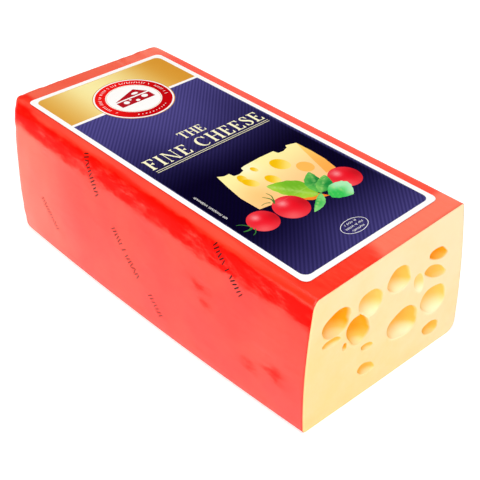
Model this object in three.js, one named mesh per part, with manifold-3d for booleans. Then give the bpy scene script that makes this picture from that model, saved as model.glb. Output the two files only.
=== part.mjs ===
// A retail block of Emmental-type cheese, cut open at one end: the cheese itself, the shrink film
// that wraps it everywhere but on the cut face, and the paper label on top.
// Millimetres. +X runs along the block to the cut face, +Y to its back and +Z up. The origin is
// on the surface that the block stands on, under the middle of its box.
import * as THREE from "three";
import { mergeVertices } from "three/addons/utils/BufferGeometryUtils.js";
import Module from "manifold-3d";

const wasm = await Module();
wasm.setup();

// ---- Driving dimensions: the wrapped block -------------------------------------------------
const LENGTH = 254.5; // from the far end to the cut face, along the top
const FAR_WIDTH = 113.5; // across the top at the far end
const CUT_WIDTH = 114.2; // across the top at the cut face
const CUT_SHIFT = -2.15; // the middle of the cut end's top, measured from the far end's middle
const HEIGHT = 89.6;
// How far each foot corner stands outside the top corner above it: soft cheese spreads as it stands
const SPREAD = { farFront: 7.6, farBack: 5.5, cutFront: -0.9, cutBack: 8.5 };
const MIDWAY_SPREAD = 2; // how much further the foot spreads half way along the block
// How far the foot of each end reaches past the top of that end
const FAR_LEAN = -5.2;
const CUT_LEAN_FRONT = 0;
const CUT_LEAN_BACK = 6.4;
const BELLY = 1.9; // how far the long sides swell at half height
const END_BELLY = 2.6; // how far the far end swells at its middle

// ---- Driving dimensions: edges -------------------------------------------------------------
const TOP_FRONT_RADIUS = 7;
const TOP_BACK_RADIUS = 1.6;
const FOOT_FRONT_RADIUS = 2;
const FOOT_BACK_RADIUS = 6;
const FAR_TOP_RADIUS = 3.5;
const FAR_SIDE_RADIUS = 7.5;
const FAR_FOOT_RADIUS = 14;
const SHARPEST_RADIUS = 1; // no long edge is sharper than this

// ---- Driving dimensions: film and label ----------------------------------------------------
const FILM = 0.5; // thickness of the film
const CLEARANCE = 0.3; // air kept between pieces that touch
const LABEL_LENGTH = 229;
const LABEL_WIDTH = 102.3;
const LABEL_THICKNESS = 0.4;
const LABEL_CORNER = 4;
const LABEL_FROM_CUT = 11.5; // from the cut face to the label's edge
const LABEL_OFF_CENTRE = -1.85; // the label's middle line, measured from the far end's middle

// ---- Driving dimensions: the eyes on the cut face ------------------------------------------
// across and up place an eye's middle, from the middle of the far end's width and from the foot
// of a face EYES_FACE_HEIGHT high. A lower or higher block has them as much closer or wider apart.
// wide and tall are its mouth, turn tips the wide way up in degrees, deep is how far it goes in
// and rim is how far out of the face its bubble's middle lies, as a share of the bubble's depth.
const EYES_FACE_HEIGHT = 89.6;
const EYES = [
  { across: -41.5, up: 65.5, wide: 20.5, tall: 17, turn: 1, deep: 9, rim: 0.1 },
  { across: -44.2, up: 56.6, wide: 14.5, tall: 6, turn: -1, deep: 2.5, rim: 0.45 },
  { across: -16.5, up: 65.3, wide: 20, tall: 15.8, turn: -31, deep: 8, rim: 0.25 },
  { across: 5.5, up: 66.9, wide: 20.4, tall: 17, turn: -30, deep: 9, rim: 0.25 },
  { across: 38.6, up: 66, wide: 16.3, tall: 8.7, turn: -10, deep: 7, rim: 0 },
  { across: 37.1, up: 54.8, wide: 20.8, tall: 9.7, turn: -29, deep: 6, rim: 0.3 },
  { across: 23.2, up: 55.9, wide: 12.5, tall: 8.6, turn: -56, deep: 2.5, rim: 0.5 },
  { across: 13.3, up: 34.1, wide: 25.9, tall: 19.3, turn: -13, deep: 11, rim: 0.2 },
  { across: 39.6, up: 35.4, wide: 23.5, tall: 19.2, turn: -12, deep: 8, rim: 0.35 },
  { across: -15.6, up: 35.1, wide: 9.5, tall: 4.2, turn: -16, deep: 2.5, rim: 0.3 },
  { across: -14.4, up: 18.8, wide: 14.2, tall: 7.2, turn: -24, deep: 4.5, rim: 0.2 },
  { across: 40.2, up: 14.8, wide: 14.9, tall: 9, turn: -14, deep: 5, rim: 0.25 },
];
// One eye is two bubbles that ran together, with a pin-hole beside them, so its mouth has corners
const JOINED_EYE = [
  { across: -27.1, up: 55.2, wide: 12, tall: 14, turn: 9, deep: 8, rim: 0.1 },
  { across: -24.2, up: 48.6, wide: 16.5, tall: 13, turn: -5, deep: 8, rim: 0.1 },
  { across: -33.4, up: 45.4, wide: 3.4, tall: 4.6, turn: 0, deep: 3, rim: 0 },
];

// ---- How finely curved faces are cut into flats --------------------------------------------
const ARC_STEPS = 4; // flats round each long edge
const SIDE_STEPS = 4; // flats up or across each side
const END_STEPS = 6; // flats round the far end's edges
const LENGTH_STEPS = 7; // flats along the block
const EYE_AROUND = 20;
const EYE_DEEP = 12;

// A three.js geometry as a manifold solid, and back again
function toSolid(geometry) {
  const bare = geometry.clone();
  bare.deleteAttribute("normal");
  bare.deleteAttribute("uv");
  const merged = mergeVertices(bare, 1e-4);
  const mesh = new wasm.Mesh({
    numProp: 3,
    vertProperties: new Float32Array(merged.attributes.position.array),
    triVerts: new Uint32Array(merged.index.array),
  });
  return new wasm.Manifold(mesh);
}

function toGeometry(solid) {
  const mesh = solid.getMesh();
  const geometry = new THREE.BufferGeometry();
  geometry.setAttribute("position", new THREE.BufferAttribute(mesh.vertProperties, 3));
  geometry.setIndex(new THREE.BufferAttribute(mesh.triVerts, 1));
  return geometry;
}

const mix = THREE.MathUtils.lerp;

// 0 at both ends of a share from 0 to 1, and 1 half way
const bow = (share) => 4 * share * (1 - share);

// Half the block's width at a place along it, on its front (side -1) or back (side 1).
// low is 0 at the top of the block and 1 at its foot.
function reach(along, low, side) {
  const half = mix(FAR_WIDTH, CUT_WIDTH, along) / 2;
  const far = side < 0 ? SPREAD.farFront : SPREAD.farBack;
  const cut = side < 0 ? SPREAD.cutFront : SPREAD.cutBack;
  const foot = mix(far, cut, along) + MIDWAY_SPREAD * bow(along);
  return half + foot * low + BELLY * bow(low);
}

// Moves a point of the straight block to where the slumped block has it.
// across is -1 on the front side and 1 on the back, whatever the block's width there.
function slump(x, across, z) {
  const along = x / LENGTH;
  const low = 1 - z / HEIGHT;
  const middle = CUT_SHIFT * along;
  const y = middle + across * reach(along, low, across);
  const cutLean = mix(CUT_LEAN_FRONT, CUT_LEAN_BACK, (across + 1) / 2) * low;
  const swell = END_BELLY * bow(low) * (1 - across * across);
  const farLean = FAR_LEAN * low + swell;
  return new THREE.Vector3(x + cutLean * along - farLean * (1 - along), y, z);
}

// How far an edge rounded to this radius has pulled a face in, at depth below the edge's start
function roundIn(radius, depth) {
  return depth < radius ? radius - Math.sqrt(radius ** 2 - (radius - depth) ** 2) : 0;
}

// The outline of a slice through the straight block at x, as [across, z] pairs, counter-clockwise
// seen from the cut end. inset moves every face of the block inward.
function sliceOutline(x, inset) {
  const half = (FAR_WIDTH + CUT_WIDTH) / 4;
  const pulledIn = (radius) => inset + roundIn(radius - inset, x - inset);
  const sideIn = pulledIn(FAR_SIDE_RADIUS);
  const topIn = pulledIn(FAR_TOP_RADIUS);
  const footIn = pulledIn(FAR_FOOT_RADIUS);
  const corners = [
    { side: -1, foot: true, full: FOOT_FRONT_RADIUS, start: 180 },
    { side: 1, foot: true, full: FOOT_BACK_RADIUS, start: 270 },
    { side: 1, foot: false, full: TOP_BACK_RADIUS, start: 0 },
    { side: -1, foot: false, full: TOP_FRONT_RADIUS, start: 90 },
  ];
  const points = [];
  for (const { side, foot, full, start } of corners) {
    const radius = Math.max(full - Math.max(sideIn, foot ? footIn : topIn), SHARPEST_RADIUS);
    const y = side * (half - sideIn - radius);
    const z = foot ? footIn + radius : HEIGHT - topIn - radius;
    for (let i = 0; i <= ARC_STEPS; i++) {
      const angle = THREE.MathUtils.degToRad(start + (90 * i) / ARC_STEPS);
      points.push([y + radius * Math.cos(angle), z + radius * Math.sin(angle)]);
    }
  }
  const outline = [];
  points.forEach(([y, z], i) => {
    const [nextY, nextZ] = points[(i + 1) % points.length];
    const flat = i % (ARC_STEPS + 1) === ARC_STEPS;
    const steps = flat ? SIDE_STEPS : 1;
    for (let k = 0; k < steps; k++) {
      outline.push([mix(y, nextY, k / steps) / half, mix(z, nextZ, k / steps)]);
    }
  });
  return outline;
}

// The block as a closed body, every face moved in by inset, ending at endX towards the cut
function blockGeometry(inset, endX) {
  const rounding = Math.max(FAR_TOP_RADIUS, FAR_SIDE_RADIUS, FAR_FOOT_RADIUS);
  const places = [];
  for (let i = 0; i < END_STEPS; i++) {
    const angle = (Math.PI / 2) * (i / END_STEPS);
    places.push(inset + (rounding - inset) * (1 - Math.cos(angle)));
  }
  for (let i = 0; i <= LENGTH_STEPS; i++) {
    places.push(mix(rounding, endX, i / LENGTH_STEPS));
  }
  const rings = places.map((x) => sliceOutline(x, inset).map(([across, z]) => slump(x, across, z)));
  return closedLoft(rings);
}

// Joins rings of equal count into a closed body, with a fan over each end
function closedLoft(rings) {
  const count = rings[0].length;
  const points = rings.flat();
  const middle = (ring) => ring.reduce((sum, p) => sum.add(p), new THREE.Vector3()).divideScalar(count);
  const first = points.push(middle(rings[0])) - 1;
  const last = points.push(middle(rings[rings.length - 1])) - 1;
  const faces = [];
  for (let i = 0; i < count; i++) {
    const next = (i + 1) % count;
    faces.push(first, next, i);
    const end = (rings.length - 1) * count;
    faces.push(last, end + i, end + next);
    for (let r = 0; r + 1 < rings.length; r++) {
      const here = r * count;
      const there = here + count;
      faces.push(here + i, here + next, there + next, here + i, there + next, there + i);
    }
  }
  const geometry = new THREE.BufferGeometry().setFromPoints(points);
  geometry.setIndex(faces);
  return geometry;
}

// An eye: the part of a gas bubble that the cut laid open
function eyeSolid({ across, up, wide, tall, turn, deep, rim }) {
  const opened = Math.sqrt(1 - rim * rim);
  const depth = deep / (1 - rim);
  const geometry = new THREE.SphereGeometry(1, EYE_AROUND, EYE_DEEP);
  geometry.scale(depth, wide / 2 / opened, tall / 2 / opened);
  geometry.rotateX(THREE.MathUtils.degToRad(turn));
  const height = (up * HEIGHT) / EYES_FACE_HEIGHT;
  const face = cutFaceAt(across, height);
  geometry.translate(face + depth * rim, across, height);
  return toSolid(geometry);
}

// Where the cut face is, at a place across and up
function cutFaceAt(across, up) {
  const low = 1 - up / HEIGHT;
  const fromMiddle = across - CUT_SHIFT;
  return slump(LENGTH, fromMiddle / reach(1, low, fromMiddle), up).x;
}

function cheeseGeometry() {
  let cheese = toSolid(blockGeometry(FILM + CLEARANCE, LENGTH));
  for (const eye of [...EYES, ...JOINED_EYE]) {
    cheese = cheese.subtract(eyeSolid(eye));
  }
  return toGeometry(cheese);
}

function filmGeometry() {
  const outside = toSolid(blockGeometry(0, LENGTH));
  const inside = toSolid(blockGeometry(FILM, LENGTH + LABEL_FROM_CUT));
  return toGeometry(outside.subtract(inside));
}

function labelGeometry() {
  const x = LABEL_LENGTH / 2;
  const y = LABEL_WIDTH / 2;
  const shape = new THREE.Shape();
  shape.moveTo(-x + LABEL_CORNER, -y);
  shape.lineTo(x - LABEL_CORNER, -y);
  shape.absarc(x - LABEL_CORNER, -y + LABEL_CORNER, LABEL_CORNER, -Math.PI / 2, 0);
  shape.lineTo(x, y - LABEL_CORNER);
  shape.absarc(x - LABEL_CORNER, y - LABEL_CORNER, LABEL_CORNER, 0, Math.PI / 2);
  shape.lineTo(-x + LABEL_CORNER, y);
  shape.absarc(-x + LABEL_CORNER, y - LABEL_CORNER, LABEL_CORNER, Math.PI / 2, Math.PI);
  shape.lineTo(-x, -y + LABEL_CORNER);
  shape.absarc(-x + LABEL_CORNER, -y + LABEL_CORNER, LABEL_CORNER, Math.PI, 1.5 * Math.PI);
  return new THREE.ExtrudeGeometry(shape, { depth: LABEL_THICKNESS, bevelEnabled: false, curveSegments: 6 });
}

function piece(name, geometry, color, roughness) {
  const mesh = new THREE.Mesh(geometry, new THREE.MeshStandardMaterial({ color, roughness, metalness: 0 }));
  mesh.name = name;
  return mesh;
}

const cheese = piece("cheese_block", cheeseGeometry(), 0xfbe6a8, 0.5);
const film = piece("red_film", filmGeometry(), 0xe8281e, 0.25);
const label = piece("label", labelGeometry(), 0x2a2468, 0.4);
label.position.set(
  LENGTH - LABEL_FROM_CUT - LABEL_LENGTH / 2,
  LABEL_OFF_CENTRE,
  HEIGHT + CLEARANCE,
);

// The film is the outermost piece all round, so its box centres the block over the origin
const block = new THREE.Group();
block.add(cheese, film, label);
film.geometry.computeBoundingBox();
const middle = film.geometry.boundingBox.getCenter(new THREE.Vector3());
block.position.set(-middle.x, -middle.y, 0);

export default block;
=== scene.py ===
"""The looks of a wrapped block of eyed cheese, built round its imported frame.

The block is a retail loaf of Emmental-type cheese in tight red film, cut open at one end, with
a printed paper label on top. Every length is in metres. Block space has x along the block from
its far end, y from the middle of the far end and z up; `place` moves it to the frame.
"""

import math
import random

import bpy
import numpy as np
from bpy.props import FloatProperty, FloatVectorProperty, IntProperty, PointerProperty
from mathutils import Matrix, Vector, noise
from mathutils.geometry import delaunay_2d_cdt


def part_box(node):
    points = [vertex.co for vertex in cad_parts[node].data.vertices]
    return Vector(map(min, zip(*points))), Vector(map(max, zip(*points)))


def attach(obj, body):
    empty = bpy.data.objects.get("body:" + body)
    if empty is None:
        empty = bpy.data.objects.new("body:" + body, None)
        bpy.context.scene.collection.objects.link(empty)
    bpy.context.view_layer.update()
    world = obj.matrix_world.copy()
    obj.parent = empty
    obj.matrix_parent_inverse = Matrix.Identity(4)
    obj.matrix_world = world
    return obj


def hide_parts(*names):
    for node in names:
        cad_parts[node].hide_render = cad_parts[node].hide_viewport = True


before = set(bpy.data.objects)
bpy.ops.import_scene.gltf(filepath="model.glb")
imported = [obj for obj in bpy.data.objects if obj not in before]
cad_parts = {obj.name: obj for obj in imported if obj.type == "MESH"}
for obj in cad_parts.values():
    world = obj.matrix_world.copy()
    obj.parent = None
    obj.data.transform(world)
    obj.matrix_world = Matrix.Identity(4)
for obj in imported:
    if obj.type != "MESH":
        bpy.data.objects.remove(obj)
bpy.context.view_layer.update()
FILM_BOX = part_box("red_film")
LABEL_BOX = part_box("label")

bl_info = {
    "name": "Wrapped cheese block",
    "version": (1, 0, 0),
    "blender": (4, 5, 0),
    "location": "3D View > Sidebar > Cheese block",
    "description": "Builds a film-wrapped, labelled block of eyed cheese, cut open at one end",
    "category": "Object",
}

MM = 0.001


# ---------------------------------------------------------------------------------------------
# What a user would change
# ---------------------------------------------------------------------------------------------


def length(name, description, millimetres):
    """A length, given in millimetres."""
    return FloatProperty(
        name=name, description=description, default=millimetres * MM, unit="LENGTH", subtype="DISTANCE"
    )


def share(name, description, value):
    """A number from 0 to 1."""
    return FloatProperty(
        name=name, description=description, default=value, min=0, max=1, subtype="FACTOR"
    )


def angle(name, description, degrees):
    """An angle, given in degrees."""
    return FloatProperty(
        name=name, description=description, default=math.radians(degrees), subtype="ANGLE"
    )


def power(name, description, watts):
    """A light's power."""
    return FloatProperty(name=name, description=description, default=watts, min=0, unit="POWER")


def level(name, description, value):
    """A strength of 0 or more."""
    return FloatProperty(name=name, description=description, default=value, min=0)


def whole(name, description, value):
    """A whole number of 2 or more."""
    return IntProperty(name=name, description=description, default=value, min=2)


def linear(shown):
    """Linear colours from the numbers a screen shows, 0 to 255."""
    c = np.clip(np.asarray(shown, float) / 255, 0, 1)
    return np.where(c <= 0.04045, c / 12.92, ((c + 0.055) / 1.055) ** 2.4)


def colour(name, description, red, green, blue):
    """A colour, given by the numbers a screen shows, 0 to 255."""
    return FloatVectorProperty(
        name=name,
        description=description,
        default=linear((red, green, blue)).tolist(),
        size=3,
        min=0,
        max=1,
        subtype="COLOR",
    )


class BlockSettings(bpy.types.PropertyGroup):
    """The slumped shape that the film and the cheese share."""

    length: length("Length", "From the far end to the cut face, along the top", 254.5)
    far_width: length("Far width", "Across the top at the far end", 113.5)
    cut_width: length("Cut width", "Across the top at the cut face", 115.7)
    cut_shift: length("Cut shift", "The cut end's middle, measured from the far end's middle", -1.4)
    far_front_spread: length("Far front spread", "How far the foot stands outside the top there", 7.1)
    far_back_spread: length("Far back spread", "How far the foot stands outside the top there", 5.5)
    cut_front_spread: length("Cut front spread", "How far the foot stands outside the top there", -0.9)
    cut_back_spread: length("Cut back spread", "How far the foot stands outside the top there", 7.6)
    midway_spread: length("Midway spread", "How much further the foot spreads half way along", 3.0)
    far_lean: length("Far lean", "How far the far end's foot reaches past its top", -5.2)
    cut_lean: length("Cut lean", "How far the cut face's back foot reaches past its top", 6.4)
    belly: length("Belly", "How far the long sides swell at half height", 2.5)
    end_belly: length("End belly", "How far the far end swells at its middle", 2.6)
    shoulder_width: length("Shoulder width", "Width of the rounding along the top front edge", 6.6)
    shoulder_drop: length("Shoulder drop", "Height of the rounding along the top front edge", 10.2)
    cut_shoulder: share("Cut shoulder", "How much of that rounding is left at the cut", 0.5)
    top_back_radius: length("Top back radius", "Rounding along the top back edge", 1.5)
    foot_front_radius: length("Foot front radius", "Rounding along the front foot", 2.2)
    foot_back_radius: length("Foot back radius", "Rounding along the back foot", 6.5)
    far_top_radius: length("Far top radius", "Rounding over the far end's top edge", 3.6)
    far_side_radius: length("Far side radius", "Rounding round the far end's upright edges", 7.8)
    far_foot_radius: length("Far foot radius", "Rounding under the far end", 14.0)


class CheeseSettings(bpy.types.PropertyGroup):
    """The cheese and its cut face."""

    grid: length("Grid", "Spacing of points on the cut face, between the eyes", 1.5)
    lip: length("Lip", "How softly an eye's rim turns into the cut face", 0.2)
    paste: colour("Paste", "The cut face near its front foot", 255, 219, 146)
    paste_pale: colour("Pale paste", "The cut face near its top back corner", 255, 232, 186)
    eye_deep: colour("Eye deep", "The shaded wall of a deep eye", 246, 164, 22)
    eye_mid: colour("Eye middle", "An eye's wall between its shaded and its lit side", 247, 194, 90)
    eye_pale: colour("Eye pale", "The lit wall of an eye", 255, 244, 202)


class FilmSettings(bpy.types.PropertyGroup):
    """The red shrink film, its print and its end seal."""

    rim: length("Rim", "Thickness of the film at its rim", 0.1)
    wall: length("Wall", "Room inside the film's outside, away from its rim", 0.85)
    rim_gap: length("Rim gap", "How far the film's rim stops short of the cut face", 0.35)
    dent_depth: length("Dent depth", "Depth of the broad dents in the sides", 0.35)
    crease_depth: length("Crease depth", "Depth of the creases along the shoulder", 0.4)
    pleat_depth: length("Pleat depth", "Depth of the pleats gathered at the far end", 0.45)
    red: colour("Red", "The film", 252, 54, 29)
    # the deep red is painted shade, standing in for the reflection the film lacks where it is drawn tight
    red_painted_shade: colour("Deep red", "The film where it is drawn tightest", 252, 12, 3)
    # the loose red is a painted sheen, standing in for the pink reflections by the ends
    red_painted_sheen: colour("Loose red", "The film where it lies loose, by the ends", 254, 114, 88)
    ink: colour("Ink", "The print on the film", 34, 4, 4)
    ink_height: length("Ink height", "Height of a printed mark", 4.1)
    seal_height: length("Seal height", "Height of the welded strip on the far end", 9.0)
    ribs: whole("Ribs", "Ribs pressed into the welded strip", 46)


class LabelSettings(bpy.types.PropertyGroup):
    """The paper label and its print."""

    corner: length("Corner", "Radius of the label's corners", 4.0)
    thickness: length("Thickness", "Thickness of the paper", 0.3)
    border: length("Border", "Width of the white border", 3.4)
    band: length("Band", "Length of the gold band, from the border", 37.6)
    rule: length("Rule", "Width of the white rule under the gold band", 2.2)
    stripe: length("Stripe", "Spacing of the fine diagonal stripes", 2.0)
    word_height: length("Word height", "Height of the large word's capitals", 10.4)
    small_word_height: length("Small word height", "Height of the small word's capitals", 7.6)
    seal_radius: length("Seal radius", "Radius of the round seal, with its rim", 25.3)
    beads: whole("Beads", "Beads round the seal, counted as if all the way round", 60)
    paper: colour("Paper", "The bare white paper", 252, 252, 251)
    cream: colour("Cream", "The lettering", 251, 246, 206)
    emblem: colour("Emblem", "The emblem in the seal", 178, 20, 34)
    # the edge's dark red is a painted shadow line between the paper and the film
    edge: colour("Edge", "The paper's cut edge, in the film's shade", 200, 70, 58)


class StageSettings(bpy.types.PropertyGroup):
    """The floor, the light and the camera."""

    floor: colour("Floor", "The floor", 248, 248, 248)
    floor_glow: level("Floor glow", "Light the floor gives off", 0.42)
    sky: level("Sky", "Strength of the even light all round", 0.06)
    key: power("Key", "Power of the main light", 12.2)
    top: power("Top", "Power of the light overhead", 12.4)
    back: power("Back", "Power of the light behind", 3.0)
    fill: power("Fill", "Power of the light on the right", 3.0)
    left: power("Left", "Power of the light on the left", 2.6)
    lens: FloatProperty(
        name="Lens", description="Focal length of the camera", default=64.35, min=1, unit="CAMERA"
    )
    azimuth: angle("Azimuth", "Which way round the camera stands", 45.1)
    elevation: angle("Elevation", "How far the camera looks down", 37.5)
    roll: angle("Roll", "How far the camera is tipped", 1.68)


# ---------------------------------------------------------------------------------------------
# The block's shape
# ---------------------------------------------------------------------------------------------

LABEL_FROM_CUT = 11.5 * MM  # from the cut face to the label's edge
LABEL_OFF_CENTRE = -1.85 * MM  # the label's middle line, measured from the far end's middle


def place(block):
    """Where block space's origin lies in the frame, from where the label lies."""
    x = LABEL_BOX[1].x + LABEL_FROM_CUT - block.length
    y = (LABEL_BOX[0].y + LABEL_BOX[1].y) / 2 - LABEL_OFF_CENTRE
    return np.array((x, y, FILM_BOX[0].z))


def block_height():
    """Height of the wrapped block, without the label."""
    return FILM_BOX[1].z - FILM_BOX[0].z


def mix(a, b, amount):
    """a at 0 and b at 1."""
    return a + (b - a) * amount


def bow(amount):
    """0 at both ends of a share from 0 to 1, and 1 half way."""
    return 4 * amount * (1 - amount)


def smooth(low, high, value):
    """0 below low, 1 above high, and a smooth step between them."""
    t = np.clip((value - low) / (high - low), 0, 1)
    return t * t * (3 - 2 * t)


def reach(block, along, low, side):
    """Half the block's width at a share of its length. low is 0 at the top and 1 at the foot."""
    half = mix(block.far_width, block.cut_width, along) / 2
    front = mix(block.far_front_spread, block.cut_front_spread, along)
    back = mix(block.far_back_spread, block.cut_back_spread, along)
    foot = np.where(np.asarray(side) < 0, front, back) + block.midway_spread * bow(along)
    return half + foot * low + block.belly * bow(low)


def slump(block, x, across, z):
    """Points of the slumped block from those of a straight one.

    across is -1 at the front side and 1 at the back.
    """
    along = x / block.length
    low = 1 - z / block_height()
    y = block.cut_shift * along + across * reach(block, along, low, across)
    cut_lean = block.cut_lean * (across + 1) / 2 * low
    far_lean = block.far_lean * low + block.end_belly * bow(low) * (1 - across**2)
    return np.stack(np.broadcast_arrays(x + cut_lean * along - far_lean * (1 - along), y, z), -1)


def cut_face(block, y, z):
    """How far along the block its cut face lies, at points across and up."""
    low = 1 - z / block_height()
    from_middle = y - block.cut_shift
    across = from_middle / reach(block, 1.0, low, from_middle)
    return block.length + block.cut_lean * (across + 1) / 2 * low


def round_in(radius, depth):
    """How far an edge rounded to this radius has pulled a face in, at a depth below the edge's start."""
    if depth >= radius:
        return 0.0
    return radius - math.sqrt(radius**2 - (radius - depth) ** 2)


# Steps round each kind of rounding, and along each kind of flat
ARC_POINTS = {"shoulder": 26, "edge": 10}
FLAT_POINTS = {"side": 48, "level": 66}
SHARPEST = 0.9 * MM  # no long edge is sharper than this


def slice_outline(block, x, inset):
    """The outline of a slice through the straight block, as across and z.

    It runs counter-clockwise as seen from the cut. inset is how far it lies inside the block.
    """
    half = (block.far_width + block.cut_width) / 4
    height = block_height()

    def pulled(radius):
        return inset + round_in(max(radius - inset, SHARPEST), max(x - inset, 0.0))

    side_in = pulled(block.far_side_radius)
    top_in = pulled(block.far_top_radius)
    foot_in = pulled(block.far_foot_radius)
    left = mix(1, block.cut_shoulder, float(smooth(0.6, 1.0, x / block.length)))
    corners = (
        (-1, True, block.foot_front_radius, block.foot_front_radius, 180, "edge", "level"),
        (1, True, block.foot_back_radius, block.foot_back_radius, 270, "edge", "side"),
        (1, False, block.top_back_radius, block.top_back_radius, 0, "edge", "level"),
        (-1, False, block.shoulder_width * left, block.shoulder_drop * left, 90, "shoulder", "side"),
    )
    arcs = []
    for side, foot, wide, tall, start, arc, _ in corners:
        edge_in = foot_in if foot else top_in
        a = max(wide - max(side_in, edge_in), SHARPEST)
        b = max(tall - max(side_in, edge_in), SHARPEST)
        y = side * (half - side_in - a)
        z = foot_in + b if foot else height - top_in - b
        turn = np.radians(start + np.linspace(0, 90, ARC_POINTS[arc] + 1))
        arcs.append(np.stack((y + a * np.cos(turn), z + b * np.sin(turn)), 1))
    outline = []
    for i, corner in enumerate(corners):
        nearest = arcs[i][-1]
        following = arcs[(i + 1) % 4][0]
        steps = np.arange(1, FLAT_POINTS[corner[6]])[:, None] / FLAT_POINTS[corner[6]]
        outline += [arcs[i], nearest + (following - nearest) * steps]
    outline = np.concatenate(outline)
    return outline[:, 0] / half, outline[:, 1]


def ring_at(block, x, inset):
    """A ring of points round the slumped block."""
    across, z = slice_outline(block, x, inset)
    return slump(block, x, across, z)


def far_stations(block, inset, count):
    """Places along the far end's rounding, closer together where it turns faster."""
    radius = max(block.far_top_radius, block.far_side_radius, block.far_foot_radius)
    turn = np.linspace(0, math.pi / 2, count, endpoint=False)
    return inset + (radius - inset) * (1 - np.cos(turn)), radius


# ---------------------------------------------------------------------------------------------
# Meshes
# ---------------------------------------------------------------------------------------------


def new_piece(name, points, faces, materials, picks=None, offset=(0, 0, 0)):
    """A smooth-shaded mesh object whose place is in its mesh. picks gives each face's material."""
    mesh = bpy.data.meshes.new(name)
    mesh.from_pydata([tuple(p) for p in np.asarray(points) + np.asarray(offset)], [], faces)
    for material in materials:
        mesh.materials.append(material)
    mesh.polygons.foreach_set("use_smooth", [True] * len(mesh.polygons))
    if picks is not None:
        mesh.polygons.foreach_set("material_index", picks)
    mesh.update()
    piece = bpy.data.objects.new(name, mesh)
    bpy.context.scene.collection.objects.link(piece)
    return piece


def join_rings(count, rings, first=0):
    """Quads between rings of equal count, each ring following the last."""
    faces = []
    for r in range(rings - 1):
        here = first + r * count
        there = here + count
        for i in range(count):
            after = (i + 1) % count
            faces.append((here + i, here + after, there + after, there + i))
    return faces


def cap_rings(ring, shares):
    """Rings that shrink a ring towards its middle."""
    middle = ring.mean(0)
    return [middle + (ring - middle) * s for s in shares]


def hand_over(piece, body, slot, *nodes):
    """Tells the frame what a finished piece rides on and the nodes it stands for; slot, its finish, is not
    used.
    """
    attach(piece, body)
    if nodes:
        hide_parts(*nodes)


# ---------------------------------------------------------------------------------------------
# Shader helpers
# ---------------------------------------------------------------------------------------------


def new_material(name, **values):
    """A material with one Principled shader, its sockets set by name."""
    material = bpy.data.materials.new(name)
    material.use_nodes = True
    shader = material.node_tree.nodes["Principled BSDF"]
    for socket, value in values.items():
        shader.inputs[socket.replace("_", " ")].default_value = value
    return material


def opaque(rgb):
    """A colour with full alpha."""
    return (*rgb, 1.0)


BLACK = opaque((0, 0, 0))


def add(tree, kind, links=None, **settings):
    """A node with its settings made. links maps a socket's name or number to what feeds it."""
    node = tree.nodes.new(kind)
    for key, value in settings.items():
        if hasattr(node, key):
            setattr(node, key, value)
        else:
            node.inputs[key.replace("_", " ")].default_value = value
    for key, source in (links or {}).items():
        if isinstance(source, bpy.types.NodeSocket):
            tree.links.new(source, node.inputs[key])
        else:
            node.inputs[key].default_value = source
    return node


def math_node(tree, operation, a, b=0.0, clamp=False):
    """One sum on two values or sockets."""
    node = add(tree, "ShaderNodeMath", {0: a, 1: b}, operation=operation, use_clamp=clamp)
    return node.outputs[0]


def object_place(tree):
    """Where a point lies on its object."""
    return tree.nodes.new("ShaderNodeTexCoord").outputs["Object"]


def point_value(tree, name):
    """A number that the mesh holds for each of its points."""
    return add(tree, "ShaderNodeAttribute", attribute_name=name).outputs["Fac"]


def mix_colour(tree, factor, a, b, blend="MIX"):
    """One colour mixed into another."""
    node = tree.nodes.new("ShaderNodeMix")
    node.data_type = "RGBA"
    node.blend_type = blend
    for socket, source in ((node.inputs[0], factor), (node.inputs[6], a), (node.inputs[7], b)):
        if isinstance(source, bpy.types.NodeSocket):
            tree.links.new(source, socket)
        else:
            socket.default_value = source
    return node.outputs[2]


def noise_node(tree, vector, scale, detail, roughness):
    """Noise from 0 to 1."""
    settings = dict(Scale=scale, Detail=detail, Roughness=roughness)
    return add(tree, "ShaderNodeTexNoise", {"Vector": vector}, **settings).outputs["Fac"]


def ramp(tree, value, low, high, start=0.0, end=1.0):
    """A value moved from one range to another, held at both ends."""
    node = add(tree, "ShaderNodeMapRange", {"Value": value}, interpolation_type="SMOOTHSTEP")
    for key, number in (("From Min", low), ("From Max", high), ("To Min", start), ("To Max", end)):
        node.inputs[key].default_value = number
    return node.outputs[0]


def stretched(tree, vector, scale, turn=(0, 0, 0)):
    """A vector turned, and scaled along each axis."""
    node = add(tree, "ShaderNodeMapping", {"Vector": vector})
    node.inputs["Scale"].default_value = scale
    node.inputs["Rotation"].default_value = turn
    return node.outputs[0]


def group(name, inputs, outputs, build):
    """A shader node group with named sockets, built once and used again after that."""
    found = bpy.data.node_groups.get(name)
    if found:
        return found
    tree = bpy.data.node_groups.new(name, "ShaderNodeTree")
    for label, kind, value in inputs:
        socket = tree.interface.new_socket(label, in_out="INPUT", socket_type=kind)
        socket.default_value = value
    for label, kind in outputs:
        tree.interface.new_socket(label, in_out="OUTPUT", socket_type=kind)
    sources = tree.nodes.new("NodeGroupInput")
    results = tree.nodes.new("NodeGroupOutput")
    for label, socket in build(tree, sources.outputs).items():
        tree.links.new(socket, results.inputs[label])
    return tree


def use_group(tree, shared, **values):
    """A shader group placed in a material, with its values."""
    node = tree.nodes.new("ShaderNodeGroup")
    node.node_tree = shared
    for key, value in values.items():
        node.inputs[key.replace("_", " ")].default_value = value
    return node.outputs


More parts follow.
